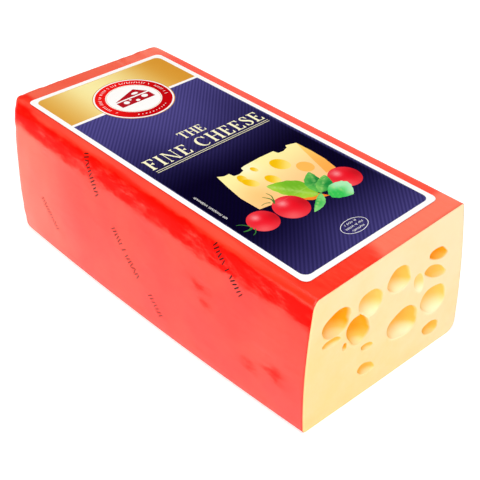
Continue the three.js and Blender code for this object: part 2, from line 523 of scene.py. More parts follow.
def film_group():
    """Fine shrink creases and clouds of the film."""

    def build(tree, given):
        spot = object_place(tree)
        crease = noise_node(tree, stretched(tree, spot, (26, 90, 90)), 1.0, 3.0, 0.62)
        ridge = math_node(tree, "ABSOLUTE", math_node(tree, "SUBTRACT", crease, 0.5))
        pebble = noise_node(tree, spot, 420.0, 2.0, 0.5)
        ridged = math_node(tree, "MULTIPLY", ridge, given["Creases"])
        pebbled = math_node(tree, "MULTIPLY", pebble, given["Pebble"])
        cloud = ramp(tree, noise_node(tree, spot, 22.0, 3.0, 0.55), 0.35, 0.7)
        fray = noise_node(tree, stretched(tree, spot, (70, 210, 210)), 1.0, 5.0, 0.72)
        return {"Height": math_node(tree, "ADD", ridged, pebbled), "Cloud": cloud, "Fray": fray}

    return group(
        "Film surface",
        (("Creases", "NodeSocketFloat", 1.0), ("Pebble", "NodeSocketFloat", 0.05)),
        (("Height", "NodeSocketFloat"), ("Cloud", "NodeSocketFloat"), ("Fray", "NodeSocketFloat")),
        build,
    )


def paper_group():
    """The fine tooth of coated paper, over the slow waves of a label stuck on film."""

    def build(tree, given):
        spot = object_place(tree)
        tooth = noise_node(tree, spot, 1500.0, 3.0, 0.6)
        wave = noise_node(tree, spot, 30.0, 1.0, 0.4)
        height = math_node(tree, "ADD", math_node(tree, "MULTIPLY", tooth, given["Tooth"]), wave)
        return {"Height": height}

    return group(
        "Coated paper", (("Tooth", "NodeSocketFloat", 0.06),), (("Height", "NodeSocketFloat"),), build
    )


def bump(material, height, distance):
    """Feeds a height to a material's normal."""
    tree = material.node_tree
    node = add(tree, "ShaderNodeBump", {"Height": height}, Distance=distance, Strength=1.0)
    tree.links.new(node.outputs[0], tree.nodes["Principled BSDF"].inputs["Normal"])


def feed(material, socket, source):
    """Links a source to one of a material's Principled sockets."""
    material.node_tree.links.new(source, material.node_tree.nodes["Principled BSDF"].inputs[socket])


# ---------------------------------------------------------------------------------------------
# Cheese
# ---------------------------------------------------------------------------------------------

# An eye is the part of a gas bubble that the cut laid open. across and up are where its middle
# lies on the cut face, wide and tall its mouth, all in millimetres; turn tips the wide way up,
# deep is how far it goes in, rim is how far outside the face its bubble's middle lies as a share
# of the bubble's depth, and tone and foot are how deep the painted shade on its upper and lower walls is.
# square is the power of the oval its mouth follows, 2 where it isn't given.
EYES = (
    dict(across=-41.6, up=66.3, wide=20.3, tall=16.4, turn=1, deep=9.5, rim=0.08, tone=1.0, foot=0.27),
    dict(across=-44.2, up=55.5, wide=13.4, tall=4.8, turn=-7, deep=1.9, rim=0.4, tone=0.75, foot=0.2),
    dict(across=-16.7, up=64.7, wide=19.8, tall=15.8, turn=-31, deep=7.0, rim=0.22, tone=0.48, foot=0.0),
    dict(across=5.4, up=67.4, wide=19.8, tall=15.4, turn=-30, deep=8.0, rim=0.22, tone=0.56, foot=0.0),
    dict(across=38.0, up=66.9, wide=16.6, tall=7.3, turn=-20, deep=6.0, rim=0.05, tone=1.0, foot=0.62),
    dict(across=37.0, up=55.8, wide=21.0, tall=7.6, turn=-28, deep=3.6, rim=0.25, tone=0.58, foot=0.34),
    dict(across=23.3, up=55.4, wide=14.0, tall=7.8, turn=-68, deep=1.3, rim=0.5, tone=0.45, foot=0.0),
    dict(across=13.3, up=34.1, wide=25.9, tall=19.3, turn=-13, deep=10.0, rim=0.15, tone=0.66, foot=0.0),
    dict(across=38.9, up=36.0, wide=23.8, tall=17.8, turn=-29, deep=6.5, rim=0.34, tone=0.5, foot=0.0),
    dict(across=-15.6, up=35.1, wide=9.5, tall=4.4, turn=-16, deep=2.4, rim=0.25, tone=0.55, foot=0.22),
    dict(across=-14.4, up=18.8, wide=14.2, tall=7.4, turn=-24, deep=4.2, rim=0.15, tone=0.66, foot=0.16),
    dict(across=39.8, up=15.0, wide=14.6, tall=8.9, turn=-14, deep=4.8, rim=0.2, tone=0.64, foot=0.34),
    # two bubbles that ran together into a squarish one, and the pin-hole beside them
    dict(
        across=-24.5, up=51.9, wide=20.6, tall=14.8, turn=-58, deep=7.5, rim=0.1, tone=0.98, foot=0.25,
        square=2.6,
    ),
    dict(across=-33.5, up=45.9, wide=3.4, tall=5.0, turn=0, deep=3.0, rim=0.0, tone=0.95, foot=0.3),
)
# Shares of an eye's mouth at which rings of points lie, closest together at the rim
EYE_RINGS = (
    0.14, 0.28, 0.42, 0.55, 0.67, 0.77, 0.85, 0.91, 0.95, 0.975, 0.99, 1.0, 1.012, 1.03, 1.06, 1.11,
)
GRID_ROW = 0.866  # height of a row of even triangles, as a share of their side


def eye_rim(eye, bearing):
    """How many times nearer an eye's rim is than an even oval's, at bearings round its middle."""
    uneven = 1 + 0.035 * np.sin(3 * bearing + eye["across"]) + 0.02 * np.sin(5 * bearing + eye["up"])
    power = eye.get("square", 2.0)
    return uneven * (np.abs(np.cos(bearing)) ** power + np.abs(np.sin(bearing)) ** power) ** (1 / power)


def in_eye(eye, y, z):
    """Points as an eye sees them: along its wide way and its tall way, 1 at its rim."""
    turn = math.radians(eye["turn"])
    dy = y - eye["across"] * MM
    dz = z - eye["up"] * MM
    wide = (dy * math.cos(turn) + dz * math.sin(turn)) / (eye["wide"] * MM / 2)
    tall = (dz * math.cos(turn) - dy * math.sin(turn)) / (eye["tall"] * MM / 2)
    nearer = eye_rim(eye, np.arctan2(tall, wide))
    return wide * nearer, tall * nearer


def eye_rise(eye, z):
    """How high points lie in an eye, from -1 at its foot to 1 at its top."""
    turn = math.radians(eye["turn"])
    half = math.hypot(eye["wide"] * math.sin(turn), eye["tall"] * math.cos(turn)) * MM / 2
    return (z - eye["up"] * MM) / half


def eye_depth(eye, y, z):
    """How deep the bubble's wall lies below the cut face, less than 0 outside it."""
    wide, tall = in_eye(eye, y, z)
    opened = 1 - eye["rim"] ** 2
    inside = 1 - (wide**2 + tall**2) * opened
    wall = np.sqrt(np.maximum(inside, 0)) - eye["rim"]
    beyond = -eye["rim"] - 0.8 * (np.sqrt(wide**2 + tall**2) - 1)
    full = eye["deep"] * MM / (1 - eye["rim"]) * (1 + 0.35 * np.clip(eye_rise(eye, z), -1, 1))
    return full * np.where(inside > 0, wall, np.minimum(beyond, 0))


def cut_depth(cheese, y, z):
    """How deep the surface lies below the cut face, all eyes together."""
    deepest = np.full(np.shape(y), -1.0)
    for eye in EYES:
        deepest = np.maximum(deepest, eye_depth(eye, y, z))
    return (deepest + np.sqrt(deepest**2 + cheese.lip**2)) / 2


def eye_tint(y, z, depth):
    """How far points lie in an eye, and how deep the painted shade on its wall is there, both from 0 to 1.

    Below its middle an eye's pale painted light runs a little way over its lip, as a painted highlight.
    """
    inside, tint = np.zeros(np.shape(y)), np.zeros(np.shape(y))
    for eye in EYES:
        steep = min(2 * eye["deep"] / eye["tall"], 1.1)
        wide, tall = in_eye(eye, y, z)
        risen = eye_rise(eye, z)
        lip = 0.09 * smooth(-0.2, -0.8, risen)
        here = 1 - smooth(0.95 + lip, 1.02 + 1.6 * lip, np.sqrt(wide**2 + tall**2))
        # tint runs from painted light low on an eye's wall to painted shade high on it
        rise = smooth(-1.0, 0.5 - 0.7 * steep, risen + 0.15 * wide)
        tint = np.where(here > inside, mix(eye["foot"], eye["tone"], rise), tint)
        inside = np.maximum(inside, here)
    return inside * (0.6 + 0.4 * smooth(0.05 * MM, 0.5 * MM, depth)), tint


def eye_ring_points(eye):
    """Points in rings over an eye's mouth and just outside it."""
    count = int(max(22, 2.4 * (eye["wide"] + eye["tall"])))
    turn = math.radians(eye["turn"])
    points = []
    for k, size in enumerate(EYE_RINGS):
        bearing = (np.arange(count) + 0.5 * (k % 2)) * 2 * math.pi / count
        out = size / eye_rim(eye, bearing)
        wide = out * np.cos(bearing) * eye["wide"] * MM / 2
        tall = out * np.sin(bearing) * eye["tall"] * MM / 2
        y = eye["across"] * MM + wide * math.cos(turn) - tall * math.sin(turn)
        z = eye["up"] * MM + wide * math.sin(turn) + tall * math.cos(turn)
        points.append(np.stack((y, z), 1))
    return np.concatenate(points)


def cut_face_points(cheese, rim):
    """Flat points for the cut face: its rim first, then the eyes' rings, then a loose grid."""
    dice = random.Random(7)
    low, high = rim.min(0), rim.max(0)
    rings = np.concatenate([eye_ring_points(eye) for eye in EYES])
    step = cheese.grid
    grid = []
    rows = int((high[1] - low[1]) / (step * GRID_ROW))
    for row in range(rows):
        for column in range(int((high[0] - low[0]) / step) + 1):
            y = low[0] + (column + 0.5 * (row % 2) + dice.uniform(-0.15, 0.15)) * step
            z = low[1] + (row + 0.5 + dice.uniform(-0.15, 0.15)) * step * GRID_ROW
            grid.append((y, z))
    grid = np.array(grid)
    clear = np.ones(len(grid), bool)
    for eye in EYES:
        wide, tall = in_eye(eye, grid[:, 0], grid[:, 1])
        clear &= np.sqrt(wide**2 + tall**2) > EYE_RINGS[-1] + 0.04
    loose = np.concatenate([rings, grid[clear]])
    loose = loose[inside_loop(loose, rim) & (gap_to_loop(loose, rim) > 0.5 * MM)]
    return thinned(loose, 0.09 * MM)


def inside_loop(points, loop):
    """Which points lie inside a closed loop."""
    inside = np.zeros(len(points), bool)
    for (ax, ay), (bx, by) in zip(loop, np.roll(loop, -1, 0)):
        crosses = (ay > points[:, 1]) != (by > points[:, 1])
        if by != ay:
            inside ^= crosses & (points[:, 0] < (bx - ax) * (points[:, 1] - ay) / (by - ay) + ax)
    return inside


def gap_to_loop(points, loop):
    """Distance from each point to the nearest corner of a loop."""
    return np.array([np.sqrt(((loop - p) ** 2).sum(1)).min() for p in points])


def thinned(points, least):
    """Points with those that lie almost on an earlier one left out."""
    seen = set()
    kept = []
    for p in points:
        cell = (round(p[0] / least), round(p[1] / least))
        if cell not in seen:
            seen.add(cell)
            kept.append(p)
    return np.array(kept)


def cheese_mesh(block, cheese, film):
    """Points and faces of the cheese, and what eye_tint says of each point."""
    skin = film.wall + 0.15 * MM
    stations, radius = far_stations(block, skin, 8)
    rings = [ring_at(block, x, skin) for x in stations]
    rings += [ring_at(block, x, skin) for x in np.linspace(radius, block.length - 9 * MM, 14)]
    flare = ((6, 0.7), (3, 0.3), (1.4, 0.14), (0.7, 0.12), (0.25, 0.16))
    rings += [ring_at(block, block.length - gap * MM, film.rim + inset * MM) for gap, inset in flare]
    count = len(rings[0])
    rim = ring_at(block, block.length, film.rim + 0.36 * MM)[:, 1:]
    loose = cut_face_points(cheese, rim)
    flat = np.concatenate([rim, loose])
    loop = [(i, (i + 1) % count) for i in range(count)]
    found = delaunay_2d_cdt([Vector(p) for p in flat], loop, [], 1, 1e-7, True)
    flat_points = np.array([tuple(p) for p in found[0]])
    sources = found[3]
    depth = cut_depth(cheese, flat_points[:, 0], flat_points[:, 1])
    x = cut_face(block, flat_points[:, 0], flat_points[:, 1]) - depth
    face_points = np.column_stack([x, flat_points])
    body = np.concatenate(rings)
    middle = rings[0].mean(0)
    points = np.concatenate([body, [middle], face_points])
    first = len(body) + 1
    faces = join_rings(count, len(rings))
    faces += [(len(body), (i + 1) % count, i) for i in range(count)]
    where = {s: k for k, given in enumerate(sources) for s in given if s < count}
    last = (len(rings) - 1) * count
    for i in range(count):
        j = (i + 1) % count
        faces.append((last + i, last + j, first + where[j], first + where[i]))
    for a, b, c in found[2]:
        pa, pb, pc = flat_points[[a, b, c]]
        turned = (pb[0] - pa[0]) * (pc[1] - pa[1]) - (pb[1] - pa[1]) * (pc[0] - pa[0]) < 0
        b, c = (c, b) if turned else (b, c)
        faces.append((first + a, first + b, first + c))
    eyes = np.zeros((2, len(points)), np.float32)
    eyes[:, first:] = eye_tint(flat_points[:, 0], flat_points[:, 1], depth)
    return points, faces, eyes


def cheese_material(cheese):
    """Firm, slightly waxy paste, with painted shade and light on the walls of its eyes and a faint painted
    glow in them.
    """
    # the eyes give off a faint painted glow in their own colours, which lifts their shaded walls
    material = new_material(
        "Cheese paste", IOR=1.42, Specular_IOR_Level=0.1, Subsurface_Weight=0.05, Emission_Strength=0.12
    )
    shader = material.node_tree.nodes["Principled BSDF"]
    shader.inputs["Subsurface Radius"].default_value = (1.0, 0.5, 0.15)
    shader.inputs["Subsurface Scale"].default_value = 3 * MM
    tree = material.node_tree
    spot = object_place(tree)
    inside, tint = point_value(tree, "in_eye"), point_value(tree, "eye_tint")
    lean = add(tree, "ShaderNodeVectorMath", {0: spot, 1: (0, 4.4, 5.0)}, operation="DOT_PRODUCT")
    uneven = math_node(tree, "SUBTRACT", noise_node(tree, spot, 46.0, 4.0, 0.65), 0.5)
    risen = math_node(tree, "ADD", math_node(tree, "ADD", lean.outputs["Value"], uneven), 0.33)
    paler = ramp(tree, risen, -0.1, 1.1)
    face = mix_colour(tree, paler, opaque(cheese.paste), opaque(cheese.paste_pale))
    shade = math_node(tree, "ADD", tint, math_node(tree, "MULTIPLY", uneven, 0.16))
    eyes = add(tree, "ShaderNodeValToRGB", {"Fac": shade})
    stops = eyes.color_ramp.elements
    stops[0].color = opaque(cheese.eye_pale)
    stops[1].color = opaque(cheese.eye_deep)
    stops.new(0.5).color = opaque(cheese.eye_mid)
    # inside the eyes the colour ramp paints light and shade, both in the colour and in the glow
    feed(material, "Base Color", mix_colour(tree, inside, face, eyes.outputs[0]))
    feed(material, "Emission Color", mix_colour(tree, inside, BLACK, eyes.outputs[0]))
    feed(material, "Roughness", ramp(tree, inside, 0.0, 1.0, 0.46, 0.26))
    drag = noise_node(tree, stretched(tree, spot, (300, 30, 420), (0.5, 0, 0)), 1.0, 3.0, 0.6)
    grain = noise_node(tree, spot, 900.0, 3.0, 0.6)
    dragged = math_node(tree, "MULTIPLY", drag, 0.6)
    grained = math_node(tree, "MULTIPLY", grain, 0.35)
    bump(material, math_node(tree, "ADD", dragged, grained), 0.12 * MM)
    return material


class CHEESE_OT_cheese(bpy.types.Operator):
    """Builds the cheese, with its eyes laid open on the cut face."""

    bl_idname = "cheese_block.cheese"
    bl_label = "Cheese"

    def execute(self, context):
        """Builds the piece."""
        block, cheese = context.scene.cheese_shape, context.scene.cheese_paste
        points, faces, eyes = cheese_mesh(block, cheese, context.scene.cheese_film)
        piece = new_piece("cheese", points, faces, [cheese_material(cheese)], offset=place(block))
        for name, values in zip(("in_eye", "eye_tint"), eyes):
            piece.data.attributes.new(name, "FLOAT", "POINT").data.foreach_set("value", values)
        hand_over(piece, "root", "cheese", "cheese_block")
        return {"FINISHED"}


# ---------------------------------------------------------------------------------------------
# Film
# ---------------------------------------------------------------------------------------------


def wander(p, scale, seed):
    """Noise from about -1 to 1 at a point."""
    return noise.noise(Vector(p) * scale + Vector((seed, seed * 0.7, -seed)))


def film_relief(block, film, x, p):
    """How far the film stands out of the block's own surface, at a point x along it."""
    height = block_height()
    up = p[2] / height
    footing = smooth(0.01, 0.09, up)
    under_label = 1 - smooth(0.965, 0.985, up)
    broad = wander(p, 24, 3.1) + 0.5 * wander(p, 55, 8.4)
    lift = film.dent_depth * broad * footing * (0.15 + 0.85 * under_label)
    band = math.exp(-(((p[2] - (height - 13 * MM)) / (7 * MM)) ** 2)) * (p[1] < 0)
    along = (p[0] * 38, p[1] * 110, p[2] * 120)
    crease = 1 - abs(noise.noise(Vector(along) + Vector((2, 5, 1)))) * 3.2
    lift += film.crease_depth * max(crease, 0) ** 2 * band * (0.4 + 0.6 * wander(p, 30, 5.5))
    near_end = math.exp(-x / (13 * MM))
    bearing = math.atan2(p[2] - height / 2, p[1])
    pleat = math.sin(bearing * 34 + 3 * wander(p, 40, 1.7)) + 0.6 * math.sin(bearing * 61 + 2.0)
    corner = abs(math.sin(2 * math.atan2((p[2] - height / 2) / height, p[1] / block.far_width))) ** 3
    lift += film.pleat_depth * 0.5 * pleat * near_end * corner * footing
    return lift


def film_mesh(block, film):
    """Points and faces of the film: a fine outside, a rim at the cut and a plain inside."""
    stations, radius = far_stations(block, 0.0, 20)
    end = block.length - film.rim_gap
    xs = list(stations) + list(np.linspace(radius, end, 168))
    first_ring = ring_at(block, xs[0], 0.0)
    shares = np.linspace(0, 1, 20)[1:-1]
    outside = cap_rings(first_ring, shares) + [ring_at(block, x, 0.0) for x in xs]
    places = [xs[0]] * len(shares) + xs
    grid = np.array(outside)
    count = grid.shape[1]
    around = np.roll(grid, -1, 1) - np.roll(grid, 1, 1)
    onward = np.gradient(grid, axis=0)
    normal = np.cross(around, onward)
    normal /= np.maximum(np.linalg.norm(normal, axis=2, keepdims=True), 1e-12)
    for r, x in enumerate(places):
        lifts = [film_relief(block, film, x, p) for p in grid[r]]
        calm = 1 - 0.9 * math.exp(-(((x - end) / (5 * MM)) ** 2))
        grid[r] += normal[r] * np.array(lifts)[:, None] * calm
    grid[..., 2] = np.maximum(grid[..., 2], 0.0)
    inner_ids = np.arange(0, count, 4)
    flare = ((0, 0), (3, 0.1), (6, 0.5))
    inside = [ring_at(block, end - gap * MM, film.rim + inset * MM)[inner_ids] for gap, inset in flare]
    inner_xs = list(np.linspace(end - 9 * MM, radius, 9)) + list(stations[::-3])
    inside += [ring_at(block, max(x, film.wall), film.wall)[inner_ids] for x in inner_xs]
    poles = [grid[0].mean(0), inside[-1].mean(0)]
    points = np.concatenate([grid.reshape(-1, 3), np.concatenate(inside), poles])
    faces = join_rings(count, len(grid))
    rim = (len(grid) - 1) * count
    first = len(grid) * count
    few = len(inner_ids)
    for k in range(few):
        here, after = first + k, first + (k + 1) % few
        fine = [rim + (4 * k + j) % count for j in range(5)]
        faces += [(fine[j], fine[j + 1], here) for j in range(2)]
        faces += [(fine[2], after, here)]
        faces += [(fine[j], fine[j + 1], after) for j in range(2, 4)]
    faces += join_rings(few, len(inside), first)
    outer_pole, inner_pole = len(points) - 2, len(points) - 1
    faces += [(outer_pole, (i + 1) % count, i) for i in range(count)]
    last = first + (len(inside) - 1) * few
    faces += [(inner_pole, last + i, last + (i + 1) % few) for i in range(few)]
    return points, faces


# Soft spots of painted shade on the front, where the film is pressed tight: shares of the
# length and of the height down, and a size
PAINTED_SHADE_SPOTS = ((0.715, 0.39, 7 * MM), (0.73, 0.47, 5 * MM), (0.925, 0.66, 8 * MM), (0.86, 0.72, 6 * MM))


def film_shade_and_sheen(block, points):
    """Where the film's painted shade and its painted sheen lie, each from 0 to 1, at every point.

    The painted shade, a deep dull red, runs where the film is drawn tightest over the top front
    shoulder and stands in for the reflection it lacks there. The painted sheen, a pale pink, lies
    where the film lies loose by both ends.
    """
    tight, loose = np.zeros(len(points)), np.zeros(len(points))
    height = block_height()
    for i, (x, y, z) in enumerate(points):
        down = height - z
        along = x / block.length
        from_edge = y - block.cut_shift * along + mix(block.far_width, block.cut_width, along) / 2
        ragged = 2.2 * MM * wander((x, y, 0.0), 42, 4.4) + 1.3 * MM * wander((x, y, z), 170, 2.2)
        far, near = 1 - smooth(0.03, 0.16, along), smooth(0.76, 0.96, along)
        edge = (16.6 - 0.7 * near - 4.0 * far) * MM
        lower = 1 - smooth(edge - 3.2 * MM, edge + 3.2 * MM, down + ragged)
        start = 3.0 * MM * (1 - far)
        upper = smooth(start - 0.4 * MM, start + 2.2 * MM, down + 0.4 * ragged) * (from_edge < 12 * MM)
        tight[i] = lower * max(upper, 0.75 * far * (from_edge < 9 * MM)) * smooth(0.0, 6 * MM, x)
        for share_along, low, wide in PAINTED_SHADE_SPOTS:
            gap = (along - share_along) ** 2 + ((down / height - low) * 0.5) ** 2
            tight[i] = max(tight[i], (y < 0) * 0.55 * math.exp(-gap * (block.length / wide) ** 2))
        patch = wander((x, y, z), 60, 7.3)
        on_top = 1 - smooth(1.5 * MM, 4.0 * MM, down)
        to_cut = smooth(0.93, 0.95, along)
        to_back = smooth(-18 * MM, -6 * MM, y + 7 * MM * patch)
        tight[i] = max(tight[i], 0.16 * on_top * smooth(0.78, 0.92, along) * (1 - to_back))
        streak = 0.5 + 0.5 * wander((x, y * 0.4, z * 0.3), 120, 6.1)
        reach_in = (85 - 45 * on_top) * MM
        from_far = x + 12 * MM * wander((x, y, z), 30, 9.3)
        far_sheen = (1 - smooth(2 * MM, reach_in, from_far)) * (0.6 + 0.4 * streak)
        far_sheen *= 1 - 0.5 * on_top * (from_edge < 10 * MM)
        faint = 0.14 * on_top * smooth(0.15, 0.35, along) * (1 - near)
        loose[i] = max(far_sheen, on_top * to_cut * to_back, faint)
    return tight, loose * (1 - tight)


def film_material(film):
    """Glossy red shrink film: duller and deeper where it is drawn tight, as painted shade, and pale pink
    where it lies loose, as a painted sheen.
    """
    found = bpy.data.materials.get("Red film")
    if found:
        return found
    material = new_material("Red film", Roughness=0.26, IOR=1.5, Coat_Weight=0.15, Coat_Roughness=0.12)
    tree = material.node_tree
    glossy = tree.nodes["Principled BSDF"]
    glossy.inputs["Specular Tint"].default_value = (1.0, 0.8, 0.7, 1.0)
    # the dull shader, mixed in where the film is drawn tight, takes away its reflection there; with the deep
    # red it is painted shade
    dull = add(tree, "ShaderNodeBsdfPrincipled", Roughness=0.3, IOR=1.5, Specular_IOR_Level=0.03)
    surface = use_group(tree, film_group(), Creases=0.8, Pebble=0.05)
    drawn = point_value(tree, "tight")
    frayed = math_node(tree, "MULTIPLY", math_node(tree, "SUBTRACT", surface["Fray"], 0.5), 3.4)
    held = math_node(tree, "MULTIPLY", frayed, ramp(tree, drawn, 0.02, 0.3))
    tight = math_node(tree, "ADD", drawn, held, clamp=True)
    # loose marks the painted sheen, pale pink
    loose = point_value(tree, "loose")
    deep = math_node(tree, "MAXIMUM", tight, math_node(tree, "MULTIPLY", surface["Cloud"], 0.7))
    red = mix_colour(tree, deep, opaque(film.red), opaque(film.red_painted_shade))
    feed(material, "Base Color", mix_colour(tree, loose, red, opaque(film.red_painted_sheen)))
    tree.links.new(glossy.inputs["Base Color"].links[0].from_socket, dull.inputs["Base Color"])
    bump(material, surface["Height"], 0.6 * MM)
    tree.links.new(glossy.inputs["Normal"].links[0].from_socket, dull.inputs["Normal"])
    blended = add(tree, "ShaderNodeMixShader", {0: tight, 1: glossy.outputs[0], 2: dull.outputs[0]})
    tree.links.new(blended.outputs[0], tree.nodes["Material Output"].inputs["Surface"])
    return material


class CHEESE_OT_film(bpy.types.Operator):
    """Builds the red film: a bag drawn tight over the block, open at the cut."""

    bl_idname = "cheese_block.film"
    bl_label = "Film"

    def execute(self, context):
        """Builds the piece."""
        block, film = context.scene.cheese_shape, context.scene.cheese_film
        points, faces = film_mesh(block, film)
        piece = new_piece("film", points, faces, [film_material(film)], offset=place(block))
        # tight and loose mark the film's painted shade and painted sheen
        for name, values in zip(("tight", "loose"), film_shade_and_sheen(block, points)):
            attribute = piece.data.attributes.new(name, "FLOAT", "POINT")
            attribute.data.foreach_set("value", values.astype(np.float32))
        hand_over(piece, "root", "red_film", "red_film")
        return {"FINISHED"}


# ---------------------------------------------------------------------------------------------
# Marks along a path: ribs, film print and the small print, by Geometry Nodes
# ---------------------------------------------------------------------------------------------

MARK_INPUTS = (
    ("Geometry", "NodeSocketGeometry"),
    ("Surface", "NodeSocketObject"),
    ("Spacing", "NodeSocketFloat"),
    ("Width", "NodeSocketFloat"),
    ("Height", "NodeSocketFloat"),
    ("Thickness", "NodeSocketFloat"),
    ("Lean", "NodeSocketFloat"),
    ("Unevenness", "NodeSocketFloat"),
    ("Gaps", "NodeSocketFloat"),
    ("Seed", "NodeSocketInt"),
    ("Material", "NodeSocketMaterial"),
)


def marks_tree():
    """Geometry Nodes that lay small flat bars along a path, each flat on the nearest surface.

    Width is along the path and Height across it. Lean is how far a bar may tip either way,
    Unevenness how much shorter it may be, and Gaps the share of bars left out.
    """
    found = bpy.data.node_groups.get("Marks along a path")
    if found:
        return found
    tree = bpy.data.node_groups.new("Marks along a path", "GeometryNodeTree")
    for label, kind in MARK_INPUTS:
        tree.interface.new_socket(label, in_out="INPUT", socket_type=kind)
    tree.interface.new_socket("Geometry", in_out="OUTPUT", socket_type="NodeSocketGeometry")
    given = tree.nodes.new("NodeGroupInput").outputs

    def chance(low, high, shift, kind="FLOAT"):
        seed = math_node(tree, "ADD", given["Seed"], shift)
        node = tree.nodes.new("FunctionNodeRandomValue")
        node.data_type = kind
        if kind == "BOOLEAN":
            tree.links.new(low, node.inputs["Probability"])
            tree.links.new(seed, node.inputs["Seed"])
            return node.outputs[3]
        for socket, source in ((node.inputs[2], low), (node.inputs[3], high), (node.inputs["Seed"], seed)):
            if isinstance(source, bpy.types.NodeSocket):
                tree.links.new(source, socket)
            else:
                socket.default_value = source
        return node.outputs[1]

    steps = tree.nodes.new("GeometryNodeCurveToPoints")
    steps.mode = "LENGTH"
    tree.links.new(given["Geometry"], steps.inputs["Curve"])
    tree.links.new(given["Spacing"], steps.inputs["Length"])
    surface = add(tree, "GeometryNodeObjectInfo", {"Object": given["Surface"]}).outputs["Geometry"]
    nearest = add(tree, "GeometryNodeProximity", {"Geometry": surface}, target_element="FACES")
    facing = add(tree, "GeometryNodeSampleNearestSurface", {"Mesh": surface}, data_type="FLOAT_VECTOR")
    tree.links.new(tree.nodes.new("GeometryNodeInputNormal").outputs[0], facing.inputs["Value"])
    out = facing.outputs["Value"]
    lift = add(tree, "ShaderNodeVectorMath", {0: out, "Scale": given["Thickness"]}, operation="SCALE")
    ends = {0: nearest.outputs["Position"], 1: lift.outputs[0]}
    onto = add(tree, "ShaderNodeVectorMath", ends, operation="ADD").outputs[0]
    store = add(
        tree,
        "GeometryNodeStoreNamedAttribute",
        {"Geometry": steps.outputs["Points"], "Name": "outward", "Value": out},
        data_type="FLOAT_VECTOR",
    )
    laid = add(tree, "GeometryNodeSetPosition", {"Geometry": store.outputs[0], "Position": onto}).outputs[0]
    outward = add(
        tree, "GeometryNodeInputNamedAttribute", {"Name": "outward"}, data_type="FLOAT_VECTOR"
    )
    flat = add(tree, "FunctionNodeAlignRotationToVector", {"Vector": outward.outputs[0]}, axis="Z")
    along = add(
        tree,
        "FunctionNodeAlignRotationToVector",
        {"Rotation": flat.outputs[0], "Vector": steps.outputs["Tangent"]},
        axis="X",
        pivot_axis="Z",
    )
    most = given["Lean"]
    least = math_node(tree, "MULTIPLY", most, -1.0)
    tip = add(tree, "ShaderNodeCombineXYZ", {"Z": chance(least, most, 11)}).outputs[0]
    turned = add(tree, "FunctionNodeRotateRotation", {0: along.outputs[0], 1: tip}, rotation_space="LOCAL")
    shortest = math_node(tree, "SUBTRACT", 1.0, given["Unevenness"])
    shares = {"X": chance(shortest, 1.0, 23), "Y": chance(shortest, 1.0, 37), "Z": 1.0}
    size = add(tree, "ShaderNodeCombineXYZ", shares)
    shown = math_node(tree, "SUBTRACT", 1.0, given["Gaps"])
    sides = {"X": given["Width"], "Y": given["Height"], "Z": given["Thickness"]}
    shape = add(tree, "ShaderNodeCombineXYZ", sides)
    bar = add(tree, "GeometryNodeMeshCube", {"Size": shape.outputs[0]}).outputs["Mesh"]
    bars = add(
        tree,
        "GeometryNodeInstanceOnPoints",
        {
            "Points": laid,
            "Instance": bar,
            "Selection": chance(shown, None, 5, "BOOLEAN"),
            "Rotation": turned.outputs[0],
            "Scale": size.outputs[0],
        },
    ).outputs[0]
    real = add(tree, "GeometryNodeRealizeInstances", {"Geometry": bars}).outputs[0]
    done = add(tree, "GeometryNodeSetMaterial", {"Geometry": real, "Material": given["Material"]}).outputs[0]
    tree.links.new(done, tree.nodes.new("NodeGroupOutput").inputs[0])
    return tree


def new_marks(context, name, surface, paths, material, **values):
    """A piece made of marks along paths, each path a row of points in the frame."""
    curve = bpy.data.curves.new(name, "CURVE")
    curve.dimensions = "3D"
    for path in paths:
        line = curve.splines.new("POLY")
        line.points.add(len(path) - 1)
        line.points.foreach_set("co", np.column_stack([path, np.ones(len(path))]).ravel())
    guide = bpy.data.objects.new(f"{name}_path", curve)
    context.scene.collection.objects.link(guide)
    tree = marks_tree()
    modifier = guide.modifiers.new("Marks", "NODES")
    modifier.node_group = tree
    values |= {"Surface": surface, "Material": material}
    for item in tree.interface.items_tree:
        if item.in_out == "INPUT" and item.name in values:
            modifier[item.identifier] = values[item.name]
    graph = context.evaluated_depsgraph_get()
    mesh = bpy.data.meshes.new_from_object(guide.evaluated_get(graph), depsgraph=graph)
    mesh.name = name
    bpy.data.objects.remove(guide)
    piece = bpy.data.objects.new(name, mesh)
    context.scene.collection.objects.link(piece)
    return piece


# ---------------------------------------------------------------------------------------------
# The film's weld and its print
# ---------------------------------------------------------------------------------------------


WELD_UP = 0.52  # where the weld's middle lies, as a share of the block's height


def far_face(block, across, z, out):
    """Points standing off the far end's face, outside its roundings."""
    x = np.zeros_like(across) - out
    return slump(block, x, across, z)


def weld_mesh(block, film):
    """Points and faces of the strip where the bag was welded shut, lying flat on the far end."""
    across = np.linspace(-0.8, 0.8, 121)
    shares = np.linspace(0, 1, 9)
    rows = []
    for risen in shares:
        edge = 0.35 * MM * np.sin(across * 23 + risen * 2) + 0.5 * MM * np.sin(across * 9)
        z = block_height() * WELD_UP + film.seal_height * (risen - 0.5) + edge
        wave = 0.35 * MM * (1 - risen) * (1 + np.sin(across * 17 + 1))
        rows.append(far_face(block, across, z, 0.75 * MM + wave))
    back = [row + np.array((0.5 * MM, 0, 0)) for row in rows]
    points = np.concatenate(rows + back)
    count, layers = len(across), len(shares)
    faces = []
    for r in range(layers - 1):
        for i in range(count - 1):
            a = r * count + i
            b = a + count
            faces.append((a, b, b + 1, a + 1))
            c, d = a + layers * count, b + layers * count
            faces.append((c, c + 1, d + 1, d))
    edge_loop = list(range(count)) + [count * r + count - 1 for r in range(1, layers)]
    edge_loop += [count * (layers - 1) + i for i in range(count - 2, -1, -1)]
    edge_loop += [count * r for r in range(layers - 2, 0, -1)]
    under = layers * count
    for a, b in zip(edge_loop, edge_loop[1:] + edge_loop[:1]):
        faces.append((a, b, b + under, a + under))
    return points, faces


